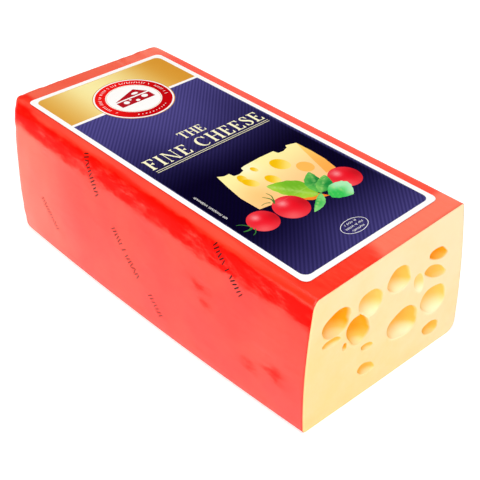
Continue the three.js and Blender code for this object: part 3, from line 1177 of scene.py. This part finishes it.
class CHEESE_OT_weld(bpy.types.Operator):
    """Builds the welded strip across the far end, and its pressed ribs."""

    bl_idname = "cheese_block.weld"
    bl_label = "Weld"

    def execute(self, context):
        """Builds the pieces."""
        block, film = context.scene.cheese_shape, context.scene.cheese_film
        material = film_material(film)
        points, faces = weld_mesh(block, film)
        strip = new_piece("film_weld", points, faces, [material], offset=place(block))
        hand_over(strip, "root", "red_film")
        across = np.linspace(-0.78, 0.78, 40)
        z = np.full_like(across, block_height() * WELD_UP)
        path = far_face(block, across, z, 2 * MM) + place(block)
        run = float(np.linalg.norm(np.diff(path, axis=0), axis=1).sum())
        ribs = new_marks(
            context,
            "film_weld_ribs",
            strip,
            [path],
            material,
            Spacing=run / film.ribs,
            Width=0.9 * MM,
            Height=film.seal_height * 0.82,
            Thickness=0.25 * MM,
            Seed=3,
        )
        hand_over(ribs, "root", "red_film")
        return {"FINISHED"}


# A run of print on the film starts and ends at a share of the block's length and of its height
# down from the top, on the front (-1) or the back (1). strength is how much of it still shows.
FILM_PRINT = (
    dict(side=-1, start=(0.31, 0.045), end=(0.363, 0.285), strength=0.95),
    dict(side=-1, start=(0.13, 0.6), end=(0.185, 0.77), strength=0.42),
    dict(side=-1, start=(0.42, 0.42), end=(0.505, 0.66), strength=0.75),
    dict(side=-1, start=(0.545, 0.74), end=(0.578, 0.85), strength=0.7),
    dict(side=-1, start=(0.74, 0.055), end=(0.822, 0.26), strength=1.0),
    dict(side=1, start=(0.24, 0.1), end=(0.16, 0.36), strength=0.95),
    dict(side=1, start=(0.5, 0.45), end=(0.42, 0.71), strength=0.85),
    dict(side=1, start=(0.76, 0.08), end=(0.68, 0.34), strength=1.0),
    dict(side=1, start=(0.9, 0.58), end=(0.83, 0.84), strength=0.8),
)


def on_side(block, side, along, low, out):
    """A point off one long side, at a share of its length and of its height down from the top."""
    height = block_height()
    x, z = along * block.length, height * (1 - low)
    p = slump(block, np.float64(x), np.float64(side), np.float64(z))
    shoulder = block.shoulder_drop / height
    inward = 0.0
    if side < 0 and low < shoulder:
        inward = block.shoulder_width * (1 - math.sqrt(max(1 - (1 - low / shoulder) ** 2, 0)))
    return p + np.array((0, side * (out - inward), 0))


class CHEESE_OT_film_print(bpy.types.Operator):
    """Prints faint generic marks over the film, in slanting runs."""

    bl_idname = "cheese_block.film_print"
    bl_label = "Film print"

    def execute(self, context):
        """Builds the pieces."""
        block, film = context.scene.cheese_shape, context.scene.cheese_film
        surface = bpy.data.objects["film"]
        for i, run in enumerate(FILM_PRINT):
            places = np.linspace(run["start"], run["end"], 24)
            path = [on_side(block, run["side"], along, low, 0.4 * MM) for along, low in places]
            ink = opaque(mix(f, k, run["strength"]) for f, k in zip(film.red, film.ink))
            material = new_material(
                f"Film ink {i + 1}", Base_Color=ink, Roughness=0.5, Specular_IOR_Level=0.1
            )
            marks = new_marks(
                context,
                f"film_print_{i + 1}",
                surface,
                [np.array(path) + place(block)],
                material,
                Spacing=1.9 * MM,
                Width=0.74 * MM,
                Height=film.ink_height,
                Thickness=0.04 * MM,
                Lean=0.42,
                Unevenness=0.25,
                Gaps=0.16,
                Seed=i + 5,
            )
            hand_over(marks, "root", "red_film")
        return {"FINISHED"}


# ---------------------------------------------------------------------------------------------
# Drawing on the label
# ---------------------------------------------------------------------------------------------

# The print is flat shapes laid one over another, in millimetres: the first number runs along the
# label from its far edge and the second across it from its front edge. Words read from front to
# back, so a letter's top points to the far edge.


def oval(a, b, ra, rb, turn=0.0, steps=48):
    """A loop of points round an oval, its first radius turned by so many degrees."""
    t = np.linspace(0, 2 * math.pi, steps, endpoint=False)
    x, y = ra * np.cos(t), rb * np.sin(t)
    c, s = math.cos(math.radians(turn)), math.sin(math.radians(turn))
    return np.stack((a + x * c - y * s, b + x * s + y * c), 1)


def rounded(a0, b0, a1, b1, radius, steps=8):
    """A loop round a rectangle with rounded corners."""
    points = []
    for a, b, start in ((a1, b1, 0), (a0, b1, 90), (a0, b0, 180), (a1, b0, 270)):
        for k in range(steps + 1):
            t = math.radians(start + 90 * k / steps)
            inner_a = a - radius if a == a1 else a + radius
            inner_b = b - radius if b == b1 else b + radius
            points.append((inner_a + radius * math.cos(t), inner_b + radius * math.sin(t)))
    return np.array(points)


def curve_through(points, steps=6, closed=False):
    """A smooth run of points through given ones. Every column is smoothed alike."""
    p = np.array(points, float)
    count = len(p)
    out = []
    for i in range(count if closed else count - 1):
        picked = [i - 1, i, i + 1, i + 2]
        picked = [k % count for k in picked] if closed else [min(max(k, 0), count - 1) for k in picked]
        p0, p1, p2, p3 = p[picked]
        for t in np.arange(steps) / steps:
            out.append(
                0.5
                * (
                    2 * p1
                    + (p2 - p0) * t
                    + (2 * p0 - 5 * p1 + 4 * p2 - p3) * t**2
                    + (3 * p1 - p0 - 3 * p2 + p3) * t**3
                )
            )
    if not closed:
        out.append(p[-1])
    return np.array(out)


def stroke(points, steps=6):
    """A loop round a pen stroke, from points with a width each."""
    path = curve_through(points, steps)
    line, width = path[:, :2], path[:, 2:]
    along = np.gradient(line, axis=0)
    across = np.stack((-along[:, 1], along[:, 0]), 1)
    across /= np.maximum(np.linalg.norm(across, axis=1, keepdims=True), 1e-9)
    half = across * width / 2
    return np.concatenate([line + half, (line - half)[::-1]])


def stem(x, wide=0.16, foot=0.075):
    """A capital's upright with bracketed serifs, one cap height tall."""
    right = x + wide
    side = ((x - foot, 0), (right + foot, 0), (right + foot, 0.04), (right + 0.015, 0.075), (right, 0.12))
    upper = [(px, 1 - py) for px, py in side][::-1]
    left = [(2 * x + wide - px, py) for px, py in upper[:-2]][::-1]
    lower = [(2 * x + wide - px, py) for px, py in side[2:]][::-1]
    return [*side, *upper, *left, *lower]


def arm(x0, x1, y, beak):
    """A thin level arm with a beak at its end, pointing up or down by so much."""
    top, low = y + 0.028, y - 0.028
    far = top if beak < 0 else low
    near = low if beak < 0 else top
    tip = [(x1 + 0.015, far + beak), (x1 - 0.03, far + beak)]
    return [(x0, far), (x1, far), *tip, (x1 - 0.13, near), (x0, near)]


def letter_c():
    """A capital C."""
    spine = []
    for t in np.radians(np.linspace(48, 312, 14)):
        right, up = math.cos(t), math.sin(t)
        spine.append((0.43 + 0.34 * right, 0.5 + 0.47 * up, 0.05 + 0.13 * max(-right, 0) ** 1.4))
    return [
        stroke(spine, 3),
        [(0.67, 0.96), (0.72, 0.96), (0.73, 0.66), (0.69, 0.66), (0.6, 0.85)],
    ]


def letter_s():
    """A capital S."""
    spine = (
        (0.46, 0.8, 0.05), (0.4, 0.93, 0.05), (0.27, 0.97, 0.06), (0.13, 0.9, 0.1), (0.11, 0.75, 0.14),
        (0.24, 0.59, 0.17), (0.4, 0.45, 0.17), (0.5, 0.28, 0.15), (0.44, 0.1, 0.1), (0.28, 0.03, 0.06),
        (0.13, 0.07, 0.05), (0.07, 0.22, 0.05),
    )
    return [
        stroke(spine, 3),
        [(0.45, 0.97), (0.5, 0.97), (0.5, 0.7), (0.46, 0.7), (0.38, 0.88)],
        [(0.04, 0.03), (0.09, 0.03), (0.18, 0.1), (0.08, 0.32), (0.04, 0.32)],
    ]


UPRIGHT = stem(0.09)
MIDDLE_ARMS = [arm(0.2, 0.46, 0.52, 0.12), arm(0.2, 0.46, 0.52, -0.12)]
TOP_ARM = arm(0.37, 0.69, 0.972, -0.22)
F_ARMS = [arm(0.2, 0.6, 0.972, -0.24), arm(0.2, 0.46, 0.52, 0.13), arm(0.2, 0.46, 0.52, -0.13)]
DIAGONAL = [(0.03, 1), (0.22, 1), (0.77, 0.02), (0.77, 0), (0.66, 0), (0.12, 0.94)]
# Each capital's width and the loops that draw it, where a capital is 1 high
LETTERS = {
    "C": (0.8, letter_c()),
    "E": (0.68, [UPRIGHT, arm(0.2, 0.6, 0.972, -0.22), arm(0.2, 0.62, 0.028, 0.26), *MIDDLE_ARMS]),
    "F": (0.64, [UPRIGHT, *F_ARMS]),
    "H": (0.86, [UPRIGHT, stem(0.61), [(0.2, 0.48), (0.66, 0.48), (0.66, 0.54), (0.2, 0.54)]]),
    "I": (0.34, [UPRIGHT]),
    "N": (0.9, [stem(0.12, 0.05), stem(0.72, 0.05), DIAGONAL]),
    "S": (0.58, letter_s()),
    "T": (0.74, [stem(0.29), TOP_ARM, [(0.74 - x, y) for x, y in TOP_ARM]]),
    " ": (0.36, []),
}


def word(text, baseline, height, start, end):
    """Loops of a word whose letters are spread from start to end across the label."""
    widths = sum(LETTERS[c][0] for c in text)
    gap = ((end - start) / height - widths) / max(len(text) - 1, 1)
    loops = []
    pen = 0.0
    for c in text:
        wide, drawn = LETTERS[c]
        for loop in drawn:
            p = np.array(loop)
            loops.append(np.stack((baseline - p[:, 1] * height, start + (pen + p[:, 0]) * height), 1))
        pen += wide + gap
    return loops


# ---------------------------------------------------------------------------------------------
# Label
# ---------------------------------------------------------------------------------------------


def blend(amount, low, high):
    """Screen colours between two, by an array of amounts."""
    t = np.asarray(amount)[..., None]
    return np.asarray(low) * (1 - t) + np.asarray(high) * t


def bump_at(a, b, centre, radii):
    """A soft round spot: 1 at its centre and fading out past its radii."""
    return np.exp(-(((a - centre[0]) / radii[0]) ** 2) - ((b - centre[1]) / radii[1]) ** 2)


SEAL = (38.2, 51.3)  # the middle of the round seal
STAMP = (214.7, 51.2)  # the middle of the small oval stamp


def paint_gold(a, b):
    """The gold band: bright a third of the way back, shaded at both ends."""
    middle = np.exp(-(((b - 38) / 26) ** 2)) * 0.95 + 0.35 * np.exp(-(((b - 66) / 16) ** 2))
    return blend(np.clip(middle, 0, 1), (216, 150, 48), (250, 240, 172))


def paint_field(a, b):
    """The navy field: darkest round the picture, lighter towards the far end and the near front."""
    dark = np.exp(-(((a - 158) / (60 - 10 * smooth(15, 45, b))) ** 2))
    dark += 0.2 * bump_at(a, b, (85, 95), (40, 22))
    return blend(np.clip(dark * 1.15, 0, 1), (84, 78, 146), (5, 0, 36))


def paint_ring(a, b):
    """The seal's red ring: brighter towards its far front, deeper towards its near back."""
    deep = smooth(-14, 18, (a - SEAL[0]) * 0.75 + (b - SEAL[1]) * 0.65)
    return blend(deep, (236, 24, 22), (196, 2, 10))


def paint_slab(a, b):
    """The pictured cheese: pale at its upper edge, deeper towards its foot."""
    base = blend(smooth(138, 176, a + 0.12 * (b - 50)), (255, 243, 168), (254, 203, 140))
    glow = 0.5 * bump_at(a, b, (142, 47), (7, 6))[..., None]
    warm = 0.35 * bump_at(a, b, (165, 34), (12, 9))[..., None]
    spots = glow * np.array((255, 252, 235)) + warm * np.array((253, 180, 90))
    return base * (1 - glow - warm) + spots


def paint_slab_side(a, b):
    """The pictured cheese's shaded side."""
    return blend(smooth(138, 172, a), (255, 214, 112), (254, 172, 78))


def paint_hole(centre, wide, tall):
    """A pictured hole: shaded at its top and lit at its foot."""

    def paint(a, b):
        lit = smooth(-0.7, 1.0, (a - centre[0]) / tall * 0.8 + (b - centre[1]) / wide * 0.6)
        return blend(lit, (243, 190, 8), (252, 224, 120))

    return paint


def paint_tomato(a0, b0, radius):
    """A pictured tomato: deep red, darker at its back and lighter below, with a soft shine."""

    def paint(a, b):
        u, v = (a - a0) / radius, (b - b0) / radius
        shades = (
            ((0.1, 0.85), (0.65, 0.4), 0.6, (170, 4, 18)),
            ((0.62, -0.5), (0.5, 0.55), 0.6, (250, 122, 122)),
            ((-0.5, -0.15), (0.28, 0.28), 0.65, (255, 205, 205)),
        )
        c = blend(smooth(0.3, 1.0, np.sqrt(u**2 + v**2)), (236, 18, 36), (232, 46, 58))
        for spot, size, most, tone in shades:
            c = blend(most * bump_at(u, v, spot, size), c, tone)
        return c

    return paint


def leaf_points(root, tip, wide, bend=0.0):
    """A leaf's loop, from its root to its tip."""
    root, tip = np.array(root), np.array(tip)
    along = tip - root
    across = np.array((-along[1], along[0])) / np.linalg.norm(along)
    t = np.linspace(0, 1, 13)
    spine = root + along * t[:, None] + across * (bend * np.sin(math.pi * t))[:, None]
    half = (wide / 2 * np.sin(math.pi * t**0.85) ** 0.8 * (1 + 0.05 * np.sin(t * 31)))[:, None] * across
    return curve_through(np.concatenate([spine + half, (spine - half)[-2:0:-1]]), 2, closed=True)


def paint_leaf(root, tip, dark, light):
    """A pictured leaf, with a pale midrib and side veins."""
    root, tip = np.array(root), np.array(tip)
    span = np.linalg.norm(tip - root)
    way = (tip - root) / span

    def paint(a, b):
        s = ((a - root[0]) * way[0] + (b - root[1]) * way[1]) / span
        t = ((b - root[1]) * way[0] - (a - root[0]) * way[1]) / span
        c = blend(smooth(-0.3, 0.35, t + 0.12 * np.sin(9 * s)), dark, light)
        midrib = 0.5 * np.exp(-((t / 0.03) ** 2))
        veins = 0.22 * np.clip(np.sin(s * 40 - np.abs(t) * 45), 0, 1) ** 3
        return blend(midrib + veins, c, (190, 226, 130))

    return paint


def even(red, green, blue):
    """One even printed colour."""
    return lambda a, b: np.broadcast_to(np.array((red, green, blue), float), (*np.shape(a), 3))


# The label's materials
PAPER, NAVY, PICTURE, CREAM, EMBLEM, EDGE_SHADOW = range(6)


def seal_shapes(label):
    """The round seal, with a generic wedge of cheese in it."""
    a, b = SEAL
    r = label.seal_radius / MM

    def drawn(points):
        return np.array([(a - up, b + right) for right, up in points])

    lid = drawn(((-12.6, 2.1), (6.6, 9.6), (12.4, 2.1)))
    wedge = drawn(((-12.6, 0.9), (12.4, 0.9), (12.4, -5.6), (-12.6, -5.6)))
    rings = (
        (0.0, 96, PICTURE, even(206, 152, 62)),
        (0.5, 96, PAPER, None),
        (1.5, 96, PICTURE, paint_ring),
        (7.9, 80, PAPER, None),
        (8.4, 80, PICTURE, even(222, 176, 110)),
        (8.7, 80, PAPER, None),
    )
    holes = (
        (-6.8, -1.9, 1.9, 1.8),
        (0.6, -3.6, 1.4, 1.3),
        (7.2, -1.6, 2.2, 1.9),
        (4.2, 4.6, 2.4, 1.3),
        (-3.0, -0.4, 0.8, 0.8),
    )
    shapes = [(oval(a, b, r - inset, r - inset, steps=n), slot, paint) for inset, n, slot, paint in rings]
    shapes += [(wedge, EMBLEM, None), (lid, EMBLEM, None)]
    for x, up, wide, tall in holes:
        shapes.append((oval(a - up, b + x, tall, wide, steps=20), PAPER, None))
    return shapes


def word_shapes(label):
    """The large and the small word, the double rule beneath and the small oval stamp."""
    height, small = label.word_height / MM, label.small_word_height / MM
    loops = word("FINE CHEESE", 109.4, height, 8.2, 94.6) + word("THE", 95.7, small, 42.0, 60.2)
    for a in (111.2, 112.7):
        loops.append(np.array([(a, 8.7), (a + 0.42, 8.7), (a + 0.42, 94.2), (a, 94.2)]))
    stamp = [(oval(*STAMP, 5.4, 8.9), PAPER, None), (oval(*STAMP, 5.1, 8.6), NAVY, paint_field)]
    return [(loop, CREAM, None) for loop in loops] + stamp


# Holes in the pictured cheese: its middle, its half width, its half height and its tip
PICTURE_HOLES = (
    (150.6, 64.2, 6.2, 4.9, 20),
    (144.9, 49.8, 2.7, 1.7, 10),
    (158.4, 50.6, 4.8, 3.4, 15),
    (147.8, 38.4, 4.3, 2.6, -10),
    (153.2, 39.2, 5.0, 3.1, 25),
)


def picture_shapes():
    """The pictured slab of cheese, tomatoes and leaves."""

    def leaf(root, tip, wide, bend, dark, light):
        return leaf_points(root, tip, wide, bend), PICTURE, paint_leaf(root, tip, dark, light)

    upper = [(137.0, 29.6), (139.0, 33.0), (139.2, 36.6), (142.4, 37.0), (143.0, 40.6), (141.9, 44.6),
             (139.2, 45.4), (138.7, 48.2), (138.2, 60.0), (138.6, 71.0), (141.8, 71.8), (142.3, 75.6),
             (141.0, 79.6), (138.9, 80.6), (139.8, 84.0), (141.0, 87.4)]
    back = [(152.0, 87.6), (163.0, 87.0), (173.0, 84.8), (175.8, 80.0)]
    front = [(176.0, 40.0), (173.4, 25.6), (160.0, 25.2), (148.0, 27.2)]
    slab = np.array(upper + back + front)
    side = np.array([upper[-1], *back[:3], (173.5, 76.8), (162.0, 80.4), (150.0, 84.2)])
    shapes = [(slab, PICTURE, paint_slab), (side, PICTURE, paint_slab_side)]
    for a, b, tall, wide, tip in PICTURE_HOLES:
        shapes.append((oval(a, b, tall, wide, tip, 32), PICTURE, paint_hole((a, b), wide, tall)))
    shapes.append((oval(161.6, 72.8, 5.3, 4.8, 12, 36), PICTURE, even(253, 186, 88)))
    peel = np.array([(178.0, 44.0), (186.0, 52.0), (189.0, 62.0), (182.0, 58.0), (174.0, 50.0)])
    shapes.append((peel, PICTURE, even(248, 132, 40)))
    leaves = (
        ((184.5, 58.2), (161.0, 43.0), 15.5, -2.0, (112, 182, 40), (170, 214, 60)),
        ((184.5, 60.4), (166.5, 70.2), 10.0, 1.0, (14, 118, 52), (96, 190, 80)),
        ((183.8, 60.8), (174.2, 74.5), 9.0, -1.0, (28, 138, 60), (128, 204, 92)),
        ((182.6, 68.4), (196.5, 72.2), 17.5, 0.0, (52, 196, 84), (170, 236, 186)),
        ((184.6, 60.0), (193.8, 44.8), 5.2, 1.2, (40, 170, 70), (132, 220, 126)),
    )
    shapes.append(leaf(*leaves[0]))
    for a, b, radius in ((182.6, 81.6, 9.6), (181.6, 20.0, 8.7), (182.7, 39.4, 10.1)):
        shapes.append((oval(a, b, radius, radius, steps=56), PICTURE, paint_tomato(a, b, radius)))
    shapes += [leaf(*row) for row in leaves[1:]]
    twigs = (
        [(175.0, 35.0, 0.9), (171.0, 36.4, 0.8), (166.8, 34.2, 0.5)],
        [(174.0, 36.0, 0.7), (169.0, 38.6, 0.6), (165.4, 38.2, 0.4)],
        [(173.0, 34.0, 0.7), (171.6, 31.6, 0.5), (171.8, 28.6, 0.3)],
        [(182.0, 12.0, 1.4), (182.4, 9.0, 1.1), (181.6, 6.4, 0.5)],
        [(180.6, 12.0, 0.6), (177.0, 9.6, 0.5), (175.4, 7.0, 0.3)],
        [(183.6, 12.6, 0.7), (186.0, 10.4, 0.5), (186.8, 8.0, 0.3)],
    )
    return shapes + [(stroke(twig, 4), PICTURE, even(58, 122, 52)) for twig in twigs]


def label_shapes(label):
    """Everything printed on the label, lowest first: a loop, its material and how it is painted."""
    wide = (LABEL_BOX[1].y - LABEL_BOX[0].y) / MM
    long = (LABEL_BOX[1].x - LABEL_BOX[0].x) / MM
    edge = label.border / MM
    band = edge + label.band / MM
    field = band + label.rule / MM
    inner = rounded(edge, edge, long - edge, wide - edge, 4.2)
    return [
        (rounded(0, 0, long, wide, label.corner / MM), PAPER, None),
        (inner, PAPER, None),
        (clipped(inner, edge, band), PICTURE, paint_gold),
        (clipped(inner, field, long), NAVY, paint_field),
        *seal_shapes(label),
        *word_shapes(label),
        *picture_shapes(),
    ]


def clipped(loop, low, high):
    """The part of a rounded rectangle between two places along the label."""
    return np.column_stack([np.clip(loop[:, 0], low, high), loop[:, 1]])


# Loose points that carry the shading of what is painted: their spacing, then the rectangle they
# fill, from one corner to the other. The shift keeps them off the shapes' own corners.
FILLING = ((4.0, (4, 4, 225, 98)), (1.3, (136, 5, 198, 92)), (1.6, (14, 27, 63, 76)))
FILLING_SHIFT = (0.13, 0.29)


def label_mesh(label):
    """Points, faces, materials and corner colours of the printed sheet."""
    shapes = label_shapes(label)
    rim = shapes[0][0]
    flat, loops = [], []
    for loop, _, _ in shapes:
        a, b = loop[:, 0], loop[:, 1]
        turned = (a * np.roll(b, -1) - b * np.roll(a, -1)).sum() < 0
        start = len(flat)
        flat += [tuple(p) for p in (loop[::-1] if turned else loop)]
        loops.append(list(range(start, len(flat))))
    for step, (a0, b0, a1, b1) in FILLING:
        grid = np.mgrid[a0:a1:step, b0:b1:step].reshape(2, -1).T
        flat += [tuple(p + np.array(FILLING_SHIFT)) for p in grid]
    found = delaunay_2d_cdt([Vector(p) for p in flat], [], loops, 1, 1e-5, True)
    points = np.array([tuple(p) for p in found[0]])
    tris = [tuple(face) for face in found[2]]
    tops = [max(given) for given in found[5]]
    picks = [shapes[k][1] for k in tops]
    corners = np.ones((len(tris) * 3, 4))
    order = np.array(tris)
    for k in set(tops):
        paint = shapes[k][2]
        if paint is not None:
            rows = np.array([i for i, top in enumerate(tops) if top == k])
            p = points[order[rows]].reshape(-1, 2)
            corners[(rows[:, None] * 3 + np.arange(3)).ravel(), :3] = linear(paint(p[:, 0], p[:, 1]))
    return points, tris, picks, corners, rim


def paper_material(name, **values):
    """Coated paper, with its tooth."""
    material = new_material(name, Roughness=0.7, IOR=1.4, Specular_IOR_Level=0.02, **values)
    bump(material, use_group(material.node_tree, paper_group(), Tooth=0.06)["Height"], 0.04 * MM)
    return material


def printed_material(name, label, stripes=False):
    """Ink on coated paper, coloured by the print's own colours."""
    material = paper_material(name)
    tree = material.node_tree
    ink = add(tree, "ShaderNodeAttribute", attribute_name="ink").outputs["Color"]
    if stripes:
        slanted = stretched(tree, object_place(tree), (1, 1, 1), (0, 0, -0.785))
        wave = add(tree, "ShaderNodeTexWave", {"Vector": slanted})
        wave.inputs["Scale"].default_value = 0.314 / label.stripe
        fine = ramp(tree, wave.outputs["Fac"], 0.15, 0.85)
        darker = mix_colour(tree, 1.0, ink, (0.62, 0.62, 0.68, 1), "MULTIPLY")
        ink = mix_colour(tree, fine, darker, ink)
    feed(material, "Base Color", ink)
    return material


def plain_paper(name, rgb):
    """One even colour on coated paper."""
    return paper_material(name, Base_Color=opaque(rgb))


class CHEESE_OT_label(bpy.types.Operator):
    """Builds the paper label, with its print as faces of its top."""

    bl_idname = "cheese_block.label"
    bl_label = "Label"

    def execute(self, context):
        """Builds the piece."""
        label = context.scene.cheese_label
        points, tris, picks, corners, rim = label_mesh(label)
        top_z = FILM_BOX[1].z + 0.12 * MM + label.thickness
        count, around = len(points), len(rim)
        low = np.concatenate([rim, [rim.mean(0)]])
        top = np.column_stack([points * MM, np.full(count, top_z)])
        under = np.column_stack([low * MM, np.full(around + 1, top_z - label.thickness)])
        where = {}
        for i, p in enumerate(points):
            where.setdefault((round(p[0], 3), round(p[1], 3)), i)
        upper = [where[(round(p[0], 3), round(p[1], 3))] for p in rim]
        faces = list(tris)
        for i in range(around):
            j = (i + 1) % around
            faces.append((count + i, count + j, upper[j], upper[i]))
            faces.append((count + around, count + j, count + i))
        # the paper's sides and underside take the edge's painted shadow
        picks = picks + [EDGE_SHADOW] * (2 * around)
        materials = [
            plain_paper("Label paper", label.paper),
            printed_material("Label field", label, stripes=True),
            printed_material("Label picture", label),
            plain_paper("Label cream ink", label.cream),
            plain_paper("Label emblem ink", label.emblem),
            plain_paper("Label edge", label.edge),
        ]
        offset = (LABEL_BOX[0].x, LABEL_BOX[0].y, 0)
        piece = new_piece("paper_label", np.concatenate([top, under]), faces, materials, picks, offset)
        piece.data.polygons.foreach_set("use_smooth", [False] * len(faces))
        ink = piece.data.color_attributes.new("ink", "FLOAT_COLOR", "CORNER")
        shown = np.ones((len(piece.data.loops), 4))
        shown[: len(corners)] = corners
        ink.data.foreach_set("color", shown.ravel())
        hand_over(piece, "root", "label_paper", "label")
        return {"FINISHED"}


class CHEESE_OT_small_print(bpy.types.Operator):
    """Lays generic bars and beads where a real label has its small print."""

    bl_idname = "cheese_block.small_print"
    bl_label = "Small print"

    def execute(self, context):
        """Builds the pieces."""
        label = context.scene.cheese_label
        surface = bpy.data.objects["paper_label"]
        origin = np.array((LABEL_BOX[0].x, LABEL_BOX[0].y, LABEL_BOX[1].z + 0.3 * MM))
        white = plain_paper("Small print ink", label.paper)

        def across(points):
            flat = np.array(points, float) * MM
            return np.column_stack([flat, np.zeros(len(flat))]) + origin

        radius = label.seal_radius / MM - 4.6
        round_seal = oval(*SEAL, radius, radius, steps=96)
        upper = [across(round_seal[18:79])]
        lower = [across(round_seal[[*range(88, 96), *range(0, 9)]])]
        a, b = STAMP
        rows = [
            across([(a + shift, b - half), (a + shift, b + half)])
            for shift, half in ((-2.8, 3.9), (0.0, 6.0), (2.8, 3.9))
        ]
        line = [across([(143.5, 7.7), (169.0, 7.7)])]
        spread = 2 * math.pi * radius / label.beads
        # a name, the paths, then spacing, width, height and lean, and the share left out
        kinds = (
            ("seal_bars", upper, spread * 0.72, 0.42, 2.2, 0.5, 0.2),
            ("seal_beads", lower, spread, 0.8, 0.8, 3.0, 0.0),
            ("mark_rows", rows, 0.85, 0.3, 1.5, 0.6, 0.2),
            ("edge_line", line, 0.8, 0.3, 1.7, 0.5, 0.12),
        )
        for i, (name, paths, spacing, wide, tall, lean, gaps) in enumerate(kinds):
            marks = new_marks(
                context,
                name,
                surface,
                paths,
                white,
                Spacing=spacing * MM,
                Width=wide * MM,
                Height=tall * MM,
                Thickness=0.03 * MM,
                Lean=lean,
                Unevenness=0.3,
                Gaps=gaps,
                Seed=i + 2,
            )
            hand_over(marks, "root", "label_paper")
        return {"FINISHED"}


# ---------------------------------------------------------------------------------------------
# Stage
# ---------------------------------------------------------------------------------------------


# The soft lights: each one's name, place, size and tint
SOFTBOXES = (
    ("key", (0.64, -0.95, 0.9), 0.9, (1, 1, 1)),
    ("top", (0.0, 0.0, 1.5), 1.4, (1, 1, 1)),
    ("fill", (1.0, 0.8, 0.8), 0.8, (1, 1, 1)),
    ("back", (-0.85, 1.15, 0.66), 0.95, (1, 0.78, 0.62)),
    ("left", (-0.85, -0.55, 0.95), 0.95, (1, 0.85, 0.72)),
)
FLOOR_REACH = 9.0
CAMERA_SPOT = (0.3026, -0.28553, 0.34316)


def softbox(context, name, spot, size, tint, watts):
    """A square area light at a spot, facing the block."""
    data = bpy.data.lights.new(name, "AREA")
    data.size = size
    data.energy = watts
    data.color = tint
    lamp = bpy.data.objects.new(name, data)
    lamp.location = spot
    aim = Vector((0, 0, 0.05)) - Vector(spot)
    lamp.rotation_euler = aim.to_track_quat("-Z", "Y").to_euler()
    context.scene.collection.objects.link(lamp)


class CHEESE_OT_stage(bpy.types.Operator):
    """Sets up the floor, the lights and the camera."""

    bl_idname = "cheese_block.stage"
    bl_label = "Stage"

    def execute(self, context):
        """Builds the stage."""
        scene, stage = context.scene, context.scene.cheese_stage
        mesh = bpy.data.meshes.new("floor")
        corners = [(x * FLOOR_REACH, y * FLOOR_REACH, 0) for x, y in ((-1, -1), (1, -1), (1, 1), (-1, 1))]
        mesh.from_pydata(corners, [], [(0, 1, 2, 3)])
        glow = opaque(stage.floor)
        paint = new_material("Floor", Base_Color=glow, Roughness=0.9, Emission_Strength=1.0)
        tree = paint.node_tree
        away = add(tree, "ShaderNodeVectorMath", {0: object_place(tree)}, operation="LENGTH")
        lit = ramp(tree, away.outputs["Value"], 0.5, 2.2, stage.floor_glow, 1.0)
        feed(paint, "Emission Color", mix_colour(tree, lit, BLACK, glow))
        mesh.materials.append(paint)
        floor = bpy.data.objects.new("floor", mesh)
        scene.collection.objects.link(floor)
        world = bpy.data.worlds.new("Studio")
        world.use_nodes = True
        tree = world.node_tree
        # the sky looks white, but lights the block only by its own strength
        seen = add(tree, "ShaderNodeLightPath").outputs["Is Camera Ray"]
        strength = ramp(tree, seen, 0.0, 1.0, stage.sky, 1.0)
        tree.nodes["Background"].inputs["Color"].default_value = (1, 1, 1, 1)
        tree.links.new(strength, tree.nodes["Background"].inputs["Strength"])
        scene.world = world
        for name, spot, size, tint in SOFTBOXES:
            softbox(context, name, spot, size, tint, getattr(stage, name))
        data = bpy.data.cameras.new("camera")
        data.lens = stage.lens
        data.sensor_width = 36
        camera = bpy.data.objects.new("camera", data)
        tilt = Matrix.Rotation(math.pi / 2 - stage.elevation, 4, "X")
        turn = Matrix.Rotation(stage.azimuth, 4, "Z") @ tilt
        roll = Matrix.Rotation(stage.roll, 4, "Z")
        camera.matrix_world = Matrix.Translation(CAMERA_SPOT) @ turn @ roll
        scene.collection.objects.link(camera)
        scene.camera = camera
        scene.view_settings.view_transform = "Standard"
        return {"FINISHED"}


# ---------------------------------------------------------------------------------------------
# The add-on
# ---------------------------------------------------------------------------------------------

STEPS = (
    CHEESE_OT_cheese,
    CHEESE_OT_film,
    CHEESE_OT_weld,
    CHEESE_OT_film_print,
    CHEESE_OT_label,
    CHEESE_OT_small_print,
    CHEESE_OT_stage,
)
SETTINGS = (
    ("cheese_shape", BlockSettings),
    ("cheese_paste", CheeseSettings),
    ("cheese_film", FilmSettings),
    ("cheese_label", LabelSettings),
    ("cheese_stage", StageSettings),
)


class CHEESE_PT_panel(bpy.types.Panel):
    """Lists the settings and the buttons that build each piece."""

    bl_label = "Cheese block"
    bl_idname = "CHEESE_PT_panel"
    bl_space_type = "VIEW_3D"
    bl_region_type = "UI"
    bl_category = "Cheese block"

    def draw(self, context):
        """Draws the panel."""
        for attribute, _ in SETTINGS:
            box = self.layout.box()
            settings = getattr(context.scene, attribute)
            for field in settings.bl_rna.properties:
                if field.identifier not in {"rna_type", "name"}:
                    box.prop(settings, field.identifier)
        for step in STEPS:
            self.layout.operator(step.bl_idname)


CLASSES = (*(settings for _, settings in SETTINGS), *STEPS, CHEESE_PT_panel)


def register():
    """Adds the settings, the operators and the panel."""
    for cls in CLASSES:
        bpy.utils.register_class(cls)
    for attribute, settings in SETTINGS:
        setattr(bpy.types.Scene, attribute, PointerProperty(type=settings))


def unregister():
    """Removes what register added."""
    for attribute, _ in SETTINGS:
        delattr(bpy.types.Scene, attribute)
    for cls in reversed(CLASSES):
        bpy.utils.unregister_class(cls)


def main():
    """Builds everything."""
    register()
    for step in STEPS:
        name = step.bl_idname.split(".")[1]
        getattr(bpy.ops.cheese_block, name)()


if __name__ == "__main__":
    main()
